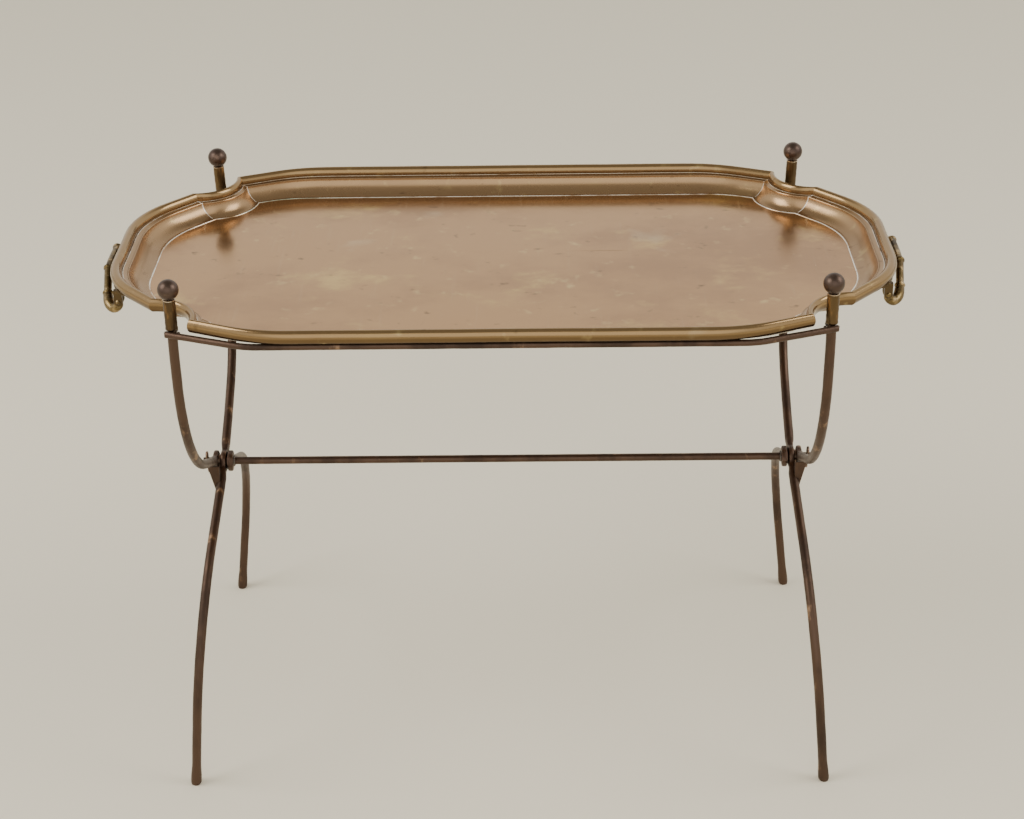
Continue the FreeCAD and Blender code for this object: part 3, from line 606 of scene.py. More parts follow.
# %% The tree: a round bar along a curve
def build_bar_tree():
    tree = bpy.data.node_groups.new("round_bar_on_a_curve", "GeometryNodeTree")
    for label, kind, value in (("Geometry", "NodeSocketGeometry", None), ("Radius", "NodeSocketFloat", 0.004),
                               ("Sides", "NodeSocketInt", 20), ("Unevenness", "NodeSocketFloat", 0.0002),
                               ("Wave", "NodeSocketFloat", 45.0), ("Metal", "NodeSocketMaterial", None)):
        socket = tree.interface.new_socket(label, in_out="INPUT", socket_type=kind)
        if value is not None:
            socket.default_value = value
    tree.interface.new_socket("Geometry", in_out="OUTPUT", socket_type="NodeSocketGeometry")
    nodes, links = tree.nodes, tree.links
    start, end = nodes.new("NodeGroupInput"), nodes.new("NodeGroupOutput")
    circle, sweep = nodes.new("GeometryNodeCurvePrimitiveCircle"), nodes.new("GeometryNodeCurveToMesh")
    sweep.inputs["Fill Caps"].default_value = True
    links.new(start.outputs["Sides"], circle.inputs["Resolution"])
    links.new(start.outputs["Radius"], circle.inputs["Radius"])
    links.new(start.outputs["Geometry"], sweep.inputs["Curve"])
    links.new(circle.outputs[0], sweep.inputs["Profile Curve"])
    rough, centre, scale = nodes.new("ShaderNodeTexNoise"), nodes.new("ShaderNodeVectorMath"), nodes.new("ShaderNodeVectorMath")
    centre.operation, scale.operation = "SUBTRACT", "SCALE"
    centre.inputs[1].default_value = (0.5, 0.5, 0.5)
    links.new(start.outputs["Wave"], rough.inputs["Scale"])
    links.new(rough.outputs["Color"], centre.inputs[0])
    links.new(centre.outputs[0], scale.inputs[0])
    links.new(start.outputs["Unevenness"], scale.inputs["Scale"])
    move, shade = nodes.new("GeometryNodeSetPosition"), nodes.new("GeometryNodeSetShadeSmooth")
    real, finish = nodes.new("GeometryNodeRealizeInstances"), nodes.new("GeometryNodeSetMaterial")
    links.new(sweep.outputs[0], move.inputs["Geometry"])
    links.new(scale.outputs[0], move.inputs["Offset"])
    links.new(move.outputs[0], shade.inputs["Geometry"])
    links.new(shade.outputs[0], real.inputs["Geometry"])
    links.new(real.outputs[0], finish.inputs["Geometry"])
    links.new(start.outputs["Metal"], finish.inputs["Material"])
    links.new(finish.outputs[0], end.inputs[0])
    return tree


BAR_TREE = build_bar_tree()


def polyline(name, points):
    data = bpy.data.curves.new(name, "CURVE")
    data.dimensions = "3D"
    spline = data.splines.new("POLY")
    spline.points.add(len(points) - 1)
    for target, point in zip(spline.points, points):
        target.co = (*point, 1)
    holder = bpy.data.objects.new(name, data)
    bpy.context.scene.collection.objects.link(holder)
    return holder


def run_tree(holder, tree, material, **values):
    """Put the tree on a holder with named values, and return what it makes as a plain piece."""
    modifier = holder.modifiers.new("tree", "NODES")
    modifier.node_group = tree
    sockets = {item.name: item.identifier for item in tree.interface.items_tree if item.in_out == "INPUT"}
    for label, value in {**values, "Metal": material}.items():
        modifier[sockets[label]] = value
    bpy.context.view_layer.update()
    depsgraph = bpy.context.evaluated_depsgraph_get()
    mesh = bpy.data.meshes.new_from_object(holder.evaluated_get(depsgraph), depsgraph=depsgraph)
    name = holder.name
    bpy.data.objects.remove(holder)
    shape = bmesh.new()
    shape.from_mesh(mesh)
    bmesh.ops.remove_doubles(shape, verts=shape.verts, dist=1e-6)
    bmesh.ops.recalc_face_normals(shape, faces=shape.faces)
    for edge in shape.edges:
        edge.smooth = not (len(edge.link_faces) == 2 and edge.calc_face_angle(0.0) > math.radians(55))
    shape.to_mesh(mesh)
    shape.free()
    return new_piece(name, mesh, material)


def arc_points(centre, radius, start, end, count, flat=(0, 1)):
    """Points of an arc about centre in the plane of two axes."""
    points = []
    for i in range(count + 1):
        angle = start + (end - start) * i / count
        point = Vector(centre)
        point[flat[0]] += radius * math.cos(angle)
        point[flat[1]] += radius * math.sin(angle)
        points.append(point)
    return points


# %% Rails
RAIL = 4 * MM
RAIL_Y, RAIL_Z, BEND_X, BEND_RADIUS = 252 * MM, 647.5 * MM, 295 * MM, 80 * MM
END_X, WELD_Y = 391.5 * MM, 219.2 * MM


def rail_points():
    turn = math.atan((RAIL_Y - WELD_Y) / (TOP_X - BEND_X))
    tangent = BEND_RADIUS * math.tan(turn / 2)
    centre = (BEND_X - tangent, RAIL_Y - BEND_RADIUS, RAIL_Z)
    half = arc_points(centre, BEND_RADIUS, math.pi / 2, math.pi / 2 - turn, 10)
    last = Vector((END_X, RAIL_Y - (END_X - BEND_X) * math.tan(turn), RAIL_Z))
    half += [half[-1].lerp(last, i / 20) for i in range(1, 21)]
    middle = [Vector((-half[0].x + 2 * half[0].x * i / 110, RAIL_Y, RAIL_Z)) for i in range(111)]
    return [Vector((-p.x, p.y, p.z)) for p in half[:0:-1]] + middle + half[1:]


rear_rail = run_tree(polyline("rear_rail_bar", rail_points()), BAR_TREE, IRON, Radius=RAIL, Unevenness=0.0006)
front_rail = mirrored(rear_rail, "front_rail_bar", axis=1)
stretcher_line = [Vector((-403.5 * MM + 807 * MM * i / 230, 0, AXLE.z)) for i in range(231)]
stretcher = run_tree(polyline("stretcher_bar", stretcher_line), BAR_TREE, IRON, Radius=5 * MM, Sides=26,
                     Unevenness=0.0003)
for piece, node, body in ((rear_rail, "rear_rail", "stand_fixed_half"),
                          (front_rail, "front_rail", "stand_folding_half"),
                          (stretcher, "stretcher", "stand_folding_half")):
    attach(piece, body)
    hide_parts(node)
print("rail length:", round(path_length(rail_points()), 3), "m")

# %% Cotter pins
COTTER_X = 398 * MM


def cotter_points():
    """A wire through the bar's end with an eye curled at the top and one leg bent below."""
    top = AXLE.z + 11 * MM
    loop = arc_points((COTTER_X, -3.6 * MM, top), 3.6 * MM, 0, math.radians(285), 18, flat=(1, 2))
    low = AXLE.z - 11 * MM
    shank = [Vector((COTTER_X, 0, low + (top - low) * i / 12)) for i in range(13)]
    tail = arc_points((COTTER_X, 9 * MM, low), 9 * MM, math.radians(180), math.radians(238), 9, flat=(1, 2))
    return tail[::-1] + shank[1:-1] + loop


for hand, way in (("right", 1), ("left", -1)):
    line = [Vector((way * p.x, p.y, p.z)) for p in cotter_points()]
    cotter = run_tree(polyline("cotter_pin_" + hand + "_wire", line), BAR_TREE, WIRE, Radius=1.55 * MM,
                      Sides=14,
                      Unevenness=0.0002, Wave=120.0)
    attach(cotter, "stand_folding_half")
    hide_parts("cotter_pin_" + hand)
print("cotter faces:", len(cotter.data.polygons))

# %% [markdown]
# ## Finials, rings and ferrules
# These were turned on a lathe, so each is a profile spun about the upright's axis. The spin is done with
# rings again, which keeps the poles clean. The ball has a flat seat, the ring has rounded edges, and the
# ferrule is a tube with a slight roll at both ends.


# %% A turned piece
def turned(name, profile, foot, axis, material, sides=56):
    """Spin (radius, height) pairs about an axis through foot."""
    axis = axis.normalized()
    first = axis.orthogonal().normalized()
    second = axis.cross(first)
    rings = []
    for radius, height in profile:
        rings.append([foot + axis * height + (first * math.cos(a) + second * math.sin(a)) * radius
                      for a in (2 * math.pi * i / sides for i in range(sides))])
    return mesh_from_rings(name, rings, material, sharp_degrees=50.0)


def ball_profile(radius, centre, seat, rows=36):
    start = math.asin((seat - centre) / radius)
    angles = [start + (math.pi / 2 - start) * i / rows for i in range(rows)]
    pairs = [(radius * math.cos(a), centre + radius * math.sin(a)) for a in angles]
    return [(3.9 * MM, seat)] + pairs + [(0.05 * MM, centre + radius)]


BALL, BALL_Z = 12.5 * MM, 702 * MM
SEAT = BALL_Z - BALL + 0.9 * MM
RING_LOW = SEAT - 1.6 * MM
SLEEVE, SLEEVE_LOW = 7.25 * MM, 651.5 * MM
ball_pairs = ball_profile(BALL, BALL_Z, SEAT)
ring_pairs = [(4 * MM, RING_LOW), (SLEEVE - 0.1 * MM, RING_LOW), (SLEEVE + 0.35 * MM, RING_LOW + 0.4 * MM),
              (SLEEVE + 0.35 * MM, SEAT - 0.4 * MM), (SLEEVE - 0.2 * MM, SEAT), (4 * MM, SEAT)]
sleeve_pairs = [(6.02 * MM, SLEEVE_LOW), (SLEEVE - 0.3 * MM, SLEEVE_LOW),
                (SLEEVE + 0.25 * MM, SLEEVE_LOW + 0.6 * MM),
                (SLEEVE + 0.2 * MM, SLEEVE_LOW + 2.2 * MM), (SLEEVE - 0.05 * MM, SLEEVE_LOW + 3.2 * MM)]
sleeve_pairs += [(SLEEVE + 0.12 * MM * math.sin(i * 1.7), SLEEVE_LOW + (6 + 2.6 * i) * MM) for i in range(11)]
sleeve_pairs += [(SLEEVE - 0.05 * MM, RING_LOW - 2.2 * MM), (SLEEVE - 0.45 * MM, RING_LOW - 0.2 * MM),
                 (4 * MM, RING_LOW)]

# %% All four corners
for row, way_y, eye_x, body in (("rear", 1, SIDE_EYE_X, "stand_fixed_half"),
                                ("front", -1, UPRIGHT_EYE_X, "stand_folding_half")):
    lean = (TOP_X - eye_x) / TOP_HEIGHT
    ring_pair = []
    for hand, way_x in (("right", 1), ("left", -1)):
        foot = Vector((way_x * (eye_x - lean * AXLE.z), way_y * UPPER_REACH, 0))
        axis = Vector((way_x * lean, 0, 1))
        corner = row + "_" + hand
        ball = turned("finial_" + corner + "_ball", ball_pairs, foot, axis, FINIAL)
        sleeve = turned("ferrule_" + corner + "_sleeve", sleeve_pairs, foot, axis, FERRULE)
        ring_pair.append(turned("finial_ring_" + corner, ring_pairs, foot, axis, RING))
        for piece, node, slot in ((ball, "finial_", "finial_bronze"), (sleeve, "ferrule_", "ferrule_brass")):
            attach(piece, body)
            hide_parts(node + corner)
    for piece in ring_pair:
        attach(piece, body)
        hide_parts("finial_rings_" + row)
print("ball rows:", len(ball_pairs), "sleeve rows:", len(sleeve_pairs))

# %% [markdown]
# ## The tray
# The tray is one sheet of brass beaten over a former. In plan it is a long octagon with a round bite out of
# each corner for the finials. In section it has a flat floor, a fine raised line, a hollow wall, a narrow
# margin and a rim rolled over a wire. So the mesh is made of outlines: each point of the section gives one
# closed ring, set in from the edge by its distance. At the corners of a bite the rings turn sharply,
# which makes the creases that run down the wall.

# %% Plan of the tray
EDGE = {"long_y": 247.0, "long_corner_x": 284.0, "cusp_long": (355.0, 218.0), "notch_depth": 17.0,
        "cusp_end": (408.0, 161.0), "end_corner_y": 93.0, "end_x": 470.5, "long_round": 34.0,
        "end_round": 48.0}
FOOT = {"long_y": 216.5, "long_corner_x": 296.0, "cusp_long": (333.0, 202.0), "notch_depth": 13.0,
        "cusp_end": (384.0, 147.0), "end_corner_y": 86.0, "end_x": 438.5, "long_round": 26.0,
        "end_round": 46.0}
WALL = 30.0                       # from the groove line in to the line at the floor


def between(name, share):
    first, last = EDGE[name], FOOT[name]
    if isinstance(first, tuple):
        return Vector(first).lerp(Vector(last), share)
    return first + (last - first) * share


def spaced(count, crowd_start=False, crowd_end=False):
    """Shares from 0 to 1, with extra ones close to a crease."""
    shares = [i / count for i in range(count + 1)]
    if crowd_start:
        shares += [0.25 / count, 0.6 / count]
    if crowd_end:
        shares += [1 - 0.25 / count, 1 - 0.6 / count]
    return sorted(shares)


def arc_between(first, middle, last, shares):
    """Points on the circle through three points."""
    ax, ay, bx, by, cx, cy = *first, *middle, *last
    d = 2 * (ax * (by - cy) + bx * (cy - ay) + cx * (ay - by))
    ux = ((ax * ax + ay * ay) * (by - cy) + (bx * bx + by * by) * (cy - ay)
          + (cx * cx + cy * cy) * (ay - by)) / d
    uy = ((ax * ax + ay * ay) * (cx - bx) + (bx * bx + by * by) * (ax - cx)
          + (cx * cx + cy * cy) * (bx - ax)) / d
    centre = Vector((ux, uy))
    one, two = (first - centre), (last - centre)
    turn = one.angle_signed(two) * -1
    return [centre + Matrix.Rotation(turn * share, 2) @ one for share in shares]


def round_corner(before, corner, after, length):
    """Three points of the arc that rounds a corner."""
    one, two = (before - corner).normalized(), (after - corner).normalized()
    half = math.acos(max(-1.0, min(1.0, one.dot(two)))) / 2
    reach = length / math.cos(half) - length * math.tan(half)
    return corner + one * length, corner + (one + two).normalized() * reach, corner + two * length


def quarter(share):
    """Outline of one quarter from the middle of the long side to the middle of the end, with crease marks."""
    long_y, end_x = between("long_y", share), between("end_x", share)
    a, b = between("cusp_long", share), between("cusp_end", share)
    long_corner, end_corner = Vector((between("long_corner_x", share), long_y)), Vector((end_x,
                                                                                         between("end_corner_y", share)))
    bend = round_corner(Vector((0, long_y)), long_corner, a, between("long_round", share))
    turn = round_corner(b, end_corner, Vector((end_x, 0)), between("end_round", share))
    inwards = Vector((-(a - b).y, (a - b).x)).normalized()
    inwards = inwards if inwards.x < 0 else -inwards
    notch = (a + b) / 2 + inwards * between("notch_depth", share)
    points, marks = [], []

    def add(new, crease_first=False):
        for index, point in enumerate(new):
            points.append(point)
            marks.append(1.0 if crease_first and index == 0 else 0.0)

    add([Vector((bend[0].x * s, long_y)) for s in spaced(46)][:-1])
    add(arc_between(*bend, spaced(9))[:-1])
    add([bend[2].lerp(a, s) for s in spaced(9, crowd_end=True)][:-1])
    add(arc_between(a, notch, b, spaced(22, True, True))[:-1], True)
    add([b.lerp(turn[0], s) for s in spaced(9, crowd_start=True)][:-1], True)
    add(arc_between(*turn, spaced(14))[:-1])
    add([turn[2].lerp(Vector((end_x, 0)), s) for s in spaced(12)])
    return points, marks


def full_outline(share):
    """The whole closed outline, anticlockwise from the middle of the rear side, and its crease marks."""
    points, marks = quarter(share)
    loop, creases = [], []
    for sx, sy, forward in ((1, 1, True), (1, -1, False), (-1, -1, True), (-1, 1, False)):
        order = range(len(points)) if forward else range(len(points) - 1, -1, -1)
        order = list(order)[:-1]
        loop += [Vector((points[i].x * sx, points[i].y * sy)) for i in order]
        creases += [marks[i] for i in order]
    return loop, creases


print("points round the tray:", len(full_outline(0)[0]))

# %% Section of the tray
SHEET, FLOOR_Z, GROOVE_Z = 1.3, 638.5, 659.0
MARGIN, BEAD_WIDTH, BEAD_HEIGHT, BEAD_Z = 7.5, 13.0, 17.0, 660.6


def hollow(drop_below, steps):
    """Hollow of the wall, from the margin down to the floor."""
    run, drop = WALL - MARGIN, GROOVE_Z - 1.5 - FLOOR_Z
    radius = (run * run + drop * drop) / (2 * drop)
    sweep = math.asin(run / radius)
    pairs = []
    for i in range(steps + 1):
        angle = sweep * (1 - i / steps)
        pairs.append((WALL - (radius + drop_below) * math.sin(angle),
                      FLOOR_Z + radius - (radius + drop_below) * math.cos(angle)))
    return pairs


def rolled(start, end, steps, inside=0.0):
    """Part of the rolled rim: distances from the groove are negative outside it."""
    pairs = []
    for i in range(steps + 1):
        angle = math.radians(start + (end - start) * i / steps)
        pairs.append((-BEAD_WIDTH / 2 + (BEAD_WIDTH / 2 - inside) * math.cos(angle),
                      BEAD_Z + (BEAD_HEIGHT / 2 - inside) * math.sin(angle)))
    return pairs


# each row: (distance in, height, line, wall, bead, shade)
# The shade column is painted shade: a little at the foot of the wall and darker towards the bottom of the
# hollow, in the groove, on the rolled rim, and heavy on every face under the rim and the floor. The line
# column is pale residue and a painted highlight.
section = []
floor_rows = 26
for i in range(floor_rows):
    section.append((WALL + 2.0 + 180.0 * (1 - i / floor_rows) ** 1.25, FLOOR_Z, 0, 0, 0, 0))
section += [(WALL + 1.5, FLOOR_Z, 0, 0, 0, 0), (WALL + 0.6, FLOOR_Z + 0.05, 0.0, 0, 0, 0.10),
            (WALL + 0.1, FLOOR_Z + 0.65, 0.9, 0.2, 0, 0), (WALL - 0.7, FLOOR_Z + 0.75, 0.9, 0.3, 0, 0),
            (WALL - 1.4, FLOOR_Z + 0.45, 0.1, 0.6, 0, 0.15)]
wall_rows = hollow(0, 22)[::-1][2:-1]
for i, (distance, z) in enumerate(wall_rows):
    up = i / len(wall_rows)
    section.append((distance, z, 0, 1.0, 0, 0.10 * (1 - smooth_step(0.20, 0.62, up))))
section += [(MARGIN + 0.5, GROOVE_Z - 1.75, 0, 1.0, 0, 0.15), (MARGIN, GROOVE_Z - 1.1, 0.05, 0.9, 0, 0.05),
            (MARGIN - 0.7, GROOVE_Z - 1.05, 0, 0.9, 0, 0), (MARGIN - 1.3, GROOVE_Z - 1.45, 0, 1.0, 0, 0.25),
            (4.2, GROOVE_Z - 1.1, 0, 0.95, 0, 0.05), (2.4, GROOVE_Z - 0.8, 0.0, 0.95, 0, 0.05),
            (1.5, GROOVE_Z - 0.45, 0.0, 0.95, 0, 0.1), (1.1, GROOVE_Z - 0.2, 1.0, 0.4, 0, 0),
            (0.5, GROOVE_Z - 0.3, 1.0, 0.1, 0.2, 0), (0.2, GROOVE_Z - 0.9, 0.0, 0, 0.5, 0.50),
            (-0.1, GROOVE_Z - 1.1, 0.0, 0, 0.6, 0.60), (-0.3, GROOVE_Z - 0.45, 0.0, 0, 0.6, 0.40)]
# Painted shade on the rolled rim: a little on its inner face by the groove, and more on its outer face from
# mid-height down and under it.
for i, (distance, z) in enumerate(rolled(2, 300, 40)):
    angle = 2 + 298 * i / 40
    bead_shade = 0.35 * (1 - smooth_step(4, 22, angle)) + 0.60 * smooth_step(168, 186,
                                                                         angle) + 0.15 * smooth_step(200, 240,
                                                                                                     angle)
    section.append((distance, z, 0, 0, 1.0, bead_shade))
for distance, z in rolled(300, 0, 20, SHEET):
    section.append((distance, z, 0, 0, 0.5, 0.85))
section.append((1.6, GROOVE_Z - 2.7, 0, 0.6, 0, 0.5))
for distance, z in hollow(SHEET, 12):
    section.append((distance, z, 0, 0.8, 0, 0.45))
for i in range(1, 11):
    section.append((WALL + 182.0 * (i / 10) ** 1.1, FLOOR_Z - SHEET, 0, 0.3, 0, 0.35))
print("rows in the section:", len(section))

# %% Rings of the tray
rings, mask_rows = [], []
foot_loop = full_outline(1)[0]
for distance, z, line, wall, bead, shade in section:
    if distance <= WALL + 2.0:
        loop, creases = full_outline(distance / WALL)
    else:
        shrink = 1 - (distance - WALL) / 214.5
        loop = [Vector((p.x * (1 - (1 - shrink) * 0.46), p.y * shrink)) for p in foot_loop]
        creases = [0.0] * len(loop)
    ring = []
    for p in loop:
        x, y = p.x * MM, p.y * MM
        swell = noise.noise(Vector((x * 7, y * 7, 1.7))) * 0.28 + noise.noise(Vector((x * 22, y * 22,
                                                                                      5.1))) * 0.07
        wobble = noise.noise_vector(Vector((x * 16, y * 16, z * 0.01))) * (0.35 if distance < WALL else 0.05)
        ring.append(Vector((x + wobble.x * MM, y + wobble.y * MM, (z + swell) * MM)))
    rings.append(ring)
    on_wall = 1.0 if 0.5 < distance < WALL - 0.5 and z > FLOOR_Z + 0.5 and wall > 0.3 else 0.0
    mask_rows.append([(min(1.0, line + mark * on_wall), wall, bead, shade) for mark in creases])
tray = mesh_from_rings("tray_sheet", rings, TRAY, sharp_degrees=34.0)

# %% Paint the masks on the tray
flat_masks = [mask for row in mask_rows for mask in row]
for index, name in enumerate(("line", "wall", "bead", "shade")):
    layer = tray.data.attributes.new(name, "FLOAT", "POINT")
    layer.data.foreach_set("value", [mask[index] for mask in flat_masks])
green = tray.data.attributes.new("green", "FLOAT", "POINT")
green_values = []
for vertex, mask in zip(tray.data.vertices, flat_masks):
    x, y = vertex.co.x, vertex.co.y
    near = math.exp(-((x + 0.26) / 0.09) ** 2) * (1 if y > 0.15 else 0)
    at_foot = 1.0 if abs(vertex.co.z - (FLOOR_Z + 0.5) * MM) < 0.9 * MM else 0.0
    green_values.append(min(1.0, mask[0] * near * at_foot * 1.3))
green.data.foreach_set("value", green_values)
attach(tray, "tray")
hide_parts("tray_pan")
print("tray faces:", len(tray.data.polygons))

# %% [markdown]
# ## The handles
# Each handle is one brass casting: a grip in three slim lengths, parted by four turned collars, with thick
# ends that hook round to the hinge. It is a bar again. Its middle line is a smooth curve through a few
# points, and its section rule follows the distance from the middle of the grip.

# %% Path of a handle
HINGE = Vector((468 * MM, 0, 638.5 * MM))
# outwards from the hinge, along the rim, upwards
LINE = [(0.0, 97.0, 0.0), (3.0, 97.0, -9.5), (9.5, 94.0, -14.0), (16.0, 85.5, -11.5), (20.0, 70.0, -5.5),
        (22.6, 50.0, 3.4), (24.6, 31.0, 10.8), (25.0, 14.0, 12.4), (25.0, 0.0, 12.6)]


def smooth_line(points, steps):
    """A curve that passes through every point (Catmull-Rom)."""
    padded = [points[0] * 2 - points[1]] + points + [points[-1] * 2 - points[-2]]
    line = []
    for p0, p1, p2, p3 in zip(padded, padded[1:], padded[2:], padded[3:]):
        for i in range(steps):
            t = i / steps
            line.append(0.5 * (2 * p1 + (p2 - p0) * t + (2 * p0 - 5 * p1 + 4 * p2 - p3) * t ** 2
                               + (3 * p1 - p0 - 3 * p2 + p3) * t ** 3))
    return line + [points[-1]]


half = [HINGE + Vector(point) * MM for point in LINE]
other_half = [Vector((p.x, -p.y, p.z)) for p in half[-2::-1]]
grip_line = smooth_line(half + other_half, 22)
far_collar = path_length([p for p in grip_line if 0 <= p.y <= half[4].y and p.z > half[4].z])
near_collar = path_length([p for p in grip_line if 0 <= p.y <= half[6].y])
print("collars at", round(near_collar / MM, 1), "and", round(far_collar / MM, 1), "mm from the middle")


# %% Section of a handle
def grip_section(distance, length):
    off = abs(distance - length / 2)
    end = length / 2 - off
    facet = smooth_step(near_collar + 3 * MM, near_collar + 5 * MM,
                        off) * (1 - smooth_step(far_collar, far_collar + 5 * MM, off))
    radius = 4.2 * MM + 0.4 * MM * facet
    radius += 1.7 * MM * smooth_step(far_collar + 1 * MM, far_collar + 5 * MM, off)
    radius += 0.9 * MM * math.exp(-((off - far_collar - 17 * MM) / (10 * MM)) ** 2)
    for at, height, width in ((near_collar, 2.2, 2.0), (near_collar - 3.4 * MM, 0.8, 0.8),
                              (near_collar + 3.4 * MM, 0.8, 0.8),
                              (far_collar, 1.7, 1.6), (far_collar - 3.0 * MM, 0.7, 0.8)):
        radius += height * MM * math.exp(-((off - at) / (width * MM)) ** 4)
    radius -= 1.2 * MM * (1 - smooth_step(2 * MM, 9 * MM, end))
    return radius, radius * 0.97, 2.0 + 0.5 * facet


# %% Both handles
def clear_of_lugs(piece, hinge_x):
    """Flatten the eye on both faces, so that it turns between its lug and the head of its pin."""
    for vertex in piece.data.vertices:
        reach = math.hypot(vertex.co.x - hinge_x, vertex.co.z - HINGE.z)
        if reach < 10.5 * MM:
            side = math.copysign(1, vertex.co.y)
            off = abs(vertex.co.y) - 97 * MM
            vertex.co.y = side * (97 * MM + max(-3.9 * MM, min(3.9 * MM, off)))


right_handle = bar("handle_right_cast", grip_line, Vector((0.6, 0, 0.8)), grip_section, HANDLE, sides=32,
                   uneven=0.0002)
clear_of_lugs(right_handle, HINGE.x)
left_handle = mirrored(right_handle, "handle_left_cast")
for piece, hand, way_x in ((right_handle, "right", 1), (left_handle, "left", -1)):
    eyes = []
    for row, way_y in (("rear", 1), ("front", -1)):
        eyes.append(turned("handle_eye_" + row + "_" + hand,
                           [(2.3 * MM, -3.9 * MM), (5.2 * MM, -3.9 * MM), (5.7 * MM, -3.3 * MM),
                                                            (5.7 * MM, 3.3 * MM), (5.2 * MM, 3.9 * MM),
                            (2.3 * MM, 3.9 * MM)],
                           Vector((way_x * HINGE.x, way_y * 97 * MM, HINGE.z)), Vector((0, 1, 0)), HANDLE,
                           sides=36))
    for each in [piece] + eyes:
        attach(each, "grip_" + hand)
        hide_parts("handle_" + hand)
print("handle path:", round(path_length(grip_line), 3), "m")

# %% [markdown]
# ## Lugs, stops and solder
# The cast lugs under the rim and the stops on the legs have the right shape in the CAD model, but a casting
# has no sharp edges. A copy of each is remeshed finely and smoothed, which rounds every edge by about
# half a millimetre. The solder where a rail meets an upright is a few lumps that run into each other.


# %% Cast copies of CAD pieces
def cast_copy(node, material, voxel, rounds):
    """A softened copy of a CAD node."""
    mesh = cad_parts[node].data.copy()
    shape = bmesh.new()
    shape.from_mesh(mesh)
    bmesh.ops.remove_doubles(shape, verts=shape.verts, dist=1e-6)
    shape.to_mesh(mesh)
    shape.free()
    piece = new_piece(node + "_cast", mesh, material)
    remesh = piece.modifiers.new("remesh", "REMESH")
    remesh.mode, remesh.voxel_size, remesh.use_smooth_shade = "VOXEL", voxel, True
    soften = piece.modifiers.new("soften", "SMOOTH")
    soften.factor, soften.iterations = 0.5, rounds
    depsgraph = bpy.context.evaluated_depsgraph_get()
    baked = bpy.data.meshes.new_from_object(piece.evaluated_get(depsgraph), depsgraph=depsgraph)
    piece.modifiers.clear()
    piece.data = baked
    baked.materials.clear()
    baked.materials.append(material)
    return piece


for node, body, material, slot in ([("handle_bracket_" + corner, "tray", LUG, "lug_brass")
                                    for corner in ("front_left", "front_right", "rear_left", "rear_right")]
                                   + [("stop_lug_" + hand, "stand_fixed_half", IRON,
                                       "stand_iron") for hand in ("left", "right")]):
    piece = cast_copy(node, material, 0.5 * MM, 4)
    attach(piece, body)
    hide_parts(node)
print("cast lug faces:", len(piece.data.polygons))


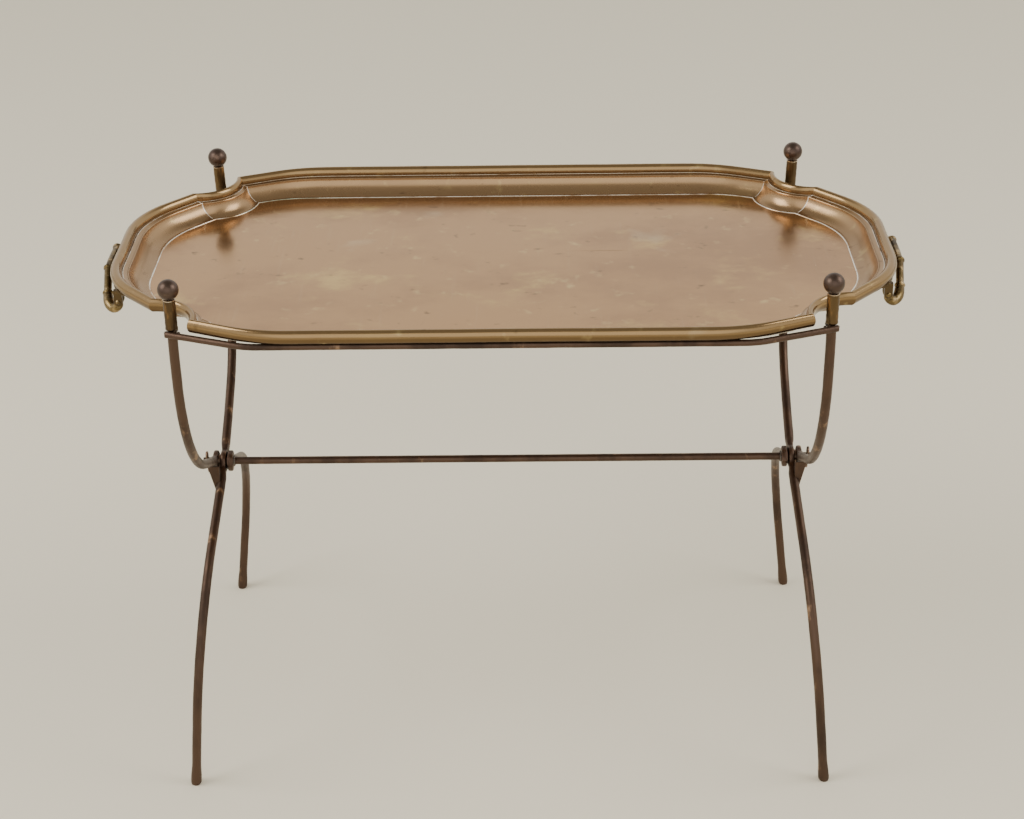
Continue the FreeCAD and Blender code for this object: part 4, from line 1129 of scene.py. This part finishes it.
# %% The tree: lumps of solder on a line
def build_solder_tree():
    tree = bpy.data.node_groups.new("solder_lumps_on_a_line", "GeometryNodeTree")
    for label, kind, value in (("Geometry", "NodeSocketGeometry", None), ("Lumps", "NodeSocketInt", 7),
                               ("Small", "NodeSocketFloat", 0.0022), ("Large", "NodeSocketFloat", 0.0034),
                               ("Seed", "NodeSocketInt", 3), ("Blend", "NodeSocketFloat", 0.0005),
                               ("Metal", "NodeSocketMaterial", None)):
        socket = tree.interface.new_socket(label, in_out="INPUT", socket_type=kind)
        if value is not None:
            socket.default_value = value
    tree.interface.new_socket("Geometry", in_out="OUTPUT", socket_type="NodeSocketGeometry")
    nodes, links = tree.nodes, tree.links
    start, end = nodes.new("NodeGroupInput"), nodes.new("NodeGroupOutput")
    points, ball = nodes.new("GeometryNodeCurveToPoints"), nodes.new("GeometryNodeMeshIcoSphere")
    ball.inputs["Subdivisions"].default_value = 3
    size, copies = nodes.new("FunctionNodeRandomValue"), nodes.new("GeometryNodeInstanceOnPoints")
    real, finish = nodes.new("GeometryNodeRealizeInstances"), nodes.new("GeometryNodeSetMaterial")
    links.new(start.outputs["Geometry"], points.inputs["Curve"])
    links.new(start.outputs["Lumps"], points.inputs["Count"])
    ball.inputs["Radius"].default_value = 1.0
    links.new(start.outputs["Small"], size.inputs[2])
    links.new(start.outputs["Large"], size.inputs[3])
    links.new(start.outputs["Seed"], size.inputs["Seed"])
    links.new(points.outputs["Points"], copies.inputs["Points"])
    links.new(ball.outputs[0], copies.inputs["Instance"])
    links.new(size.outputs[1], copies.inputs["Scale"])
    links.new(copies.outputs[0], real.inputs[0])
    volume, skin = nodes.new("GeometryNodeMeshToVolume"), nodes.new("GeometryNodeVolumeToMesh")
    volume.resolution_mode, skin.resolution_mode = "VOXEL_SIZE", "VOXEL_SIZE"
    links.new(start.outputs["Blend"], volume.inputs["Voxel Size"])
    links.new(start.outputs["Blend"], skin.inputs["Voxel Size"])
    shade = nodes.new("GeometryNodeSetShadeSmooth")
    links.new(real.outputs[0], volume.inputs["Mesh"])
    links.new(volume.outputs[0], skin.inputs["Volume"])
    links.new(skin.outputs[0], shade.inputs[0])
    links.new(shade.outputs[0], finish.inputs["Geometry"])
    links.new(start.outputs["Metal"], finish.inputs["Material"])
    links.new(finish.outputs[0], end.inputs[0])
    return tree


SOLDER_TREE = build_solder_tree()


# %% Solder at the rails and at the stretcher
def solder(name, line, body, seed, small=1.9 * MM, large=3.0 * MM, lumps=9):
    piece = run_tree(polyline(name, line), SOLDER_TREE, SOLDER, Lumps=lumps, Small=small, Large=large,
                     Seed=seed)
    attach(piece, body)
    return piece


solder_faces = 0
for row, way_y, body in (("rear", 1, "stand_fixed_half"), ("front", -1, "stand_folding_half")):
    for hand, way_x in (("left", -1), ("right", 1)):
        weld = [Vector((way_x * (384.5 * MM + 7.5 * MM * math.cos(a)),
                        way_y * (213.2 * MM + 2.4 * MM * math.sin(a * 2)),
                        RAIL_Z + 4.5 * MM * math.sin(a))) for a in (2 * math.pi * i / 24 for i in range(25))]
        solder_faces += len(solder("solder_" + row + "_" + hand, weld, body,
                                   3 + len(row + hand)).data.polygons)
for hand, way_x in (("left", -1), ("right", 1)):
    x = way_x * 362.6 * MM
    weld = [Vector((x, 6.0 * MM * math.cos(a),
                    AXLE.z + 6.0 * MM * math.sin(a))) for a in (2 * math.pi * i / 24 for i in range(25))]
    solder("solder_stretcher_" + hand, weld, "stand_folding_half", 11, 1.0 * MM, 1.6 * MM, 22)
    x = way_x * 382.6 * MM
    weld = [Vector((x, -(26 + 11 * i / 8) * MM, AXLE.z - (14 + 6 * i / 8) * MM)) for i in range(9)]
    solder("solder_stop_" + hand, weld, "stand_fixed_half", 17, 1.6 * MM, 2.6 * MM, 6)
print("solder faces:", solder_faces)

# %% [markdown]
# ## What stays as it is
# The spacer washers, the handle pins and the wire inside the rim keep their CAD shapes, which are right.
# They only take the metal they are made of.

# %% Finish the remaining CAD nodes
KEPT = {"spacer_washer": WIRE, "handle_pin": HANDLE, "rim_wire": WIRE}
for name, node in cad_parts.items():
    for start, material in KEPT.items():
        if name.startswith(start):
            node.data.materials.clear()
            node.data.materials.append(material)
            for polygon in node.data.polygons:
                polygon.use_smooth = False
print("kept:", [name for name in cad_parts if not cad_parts[name].hide_render])
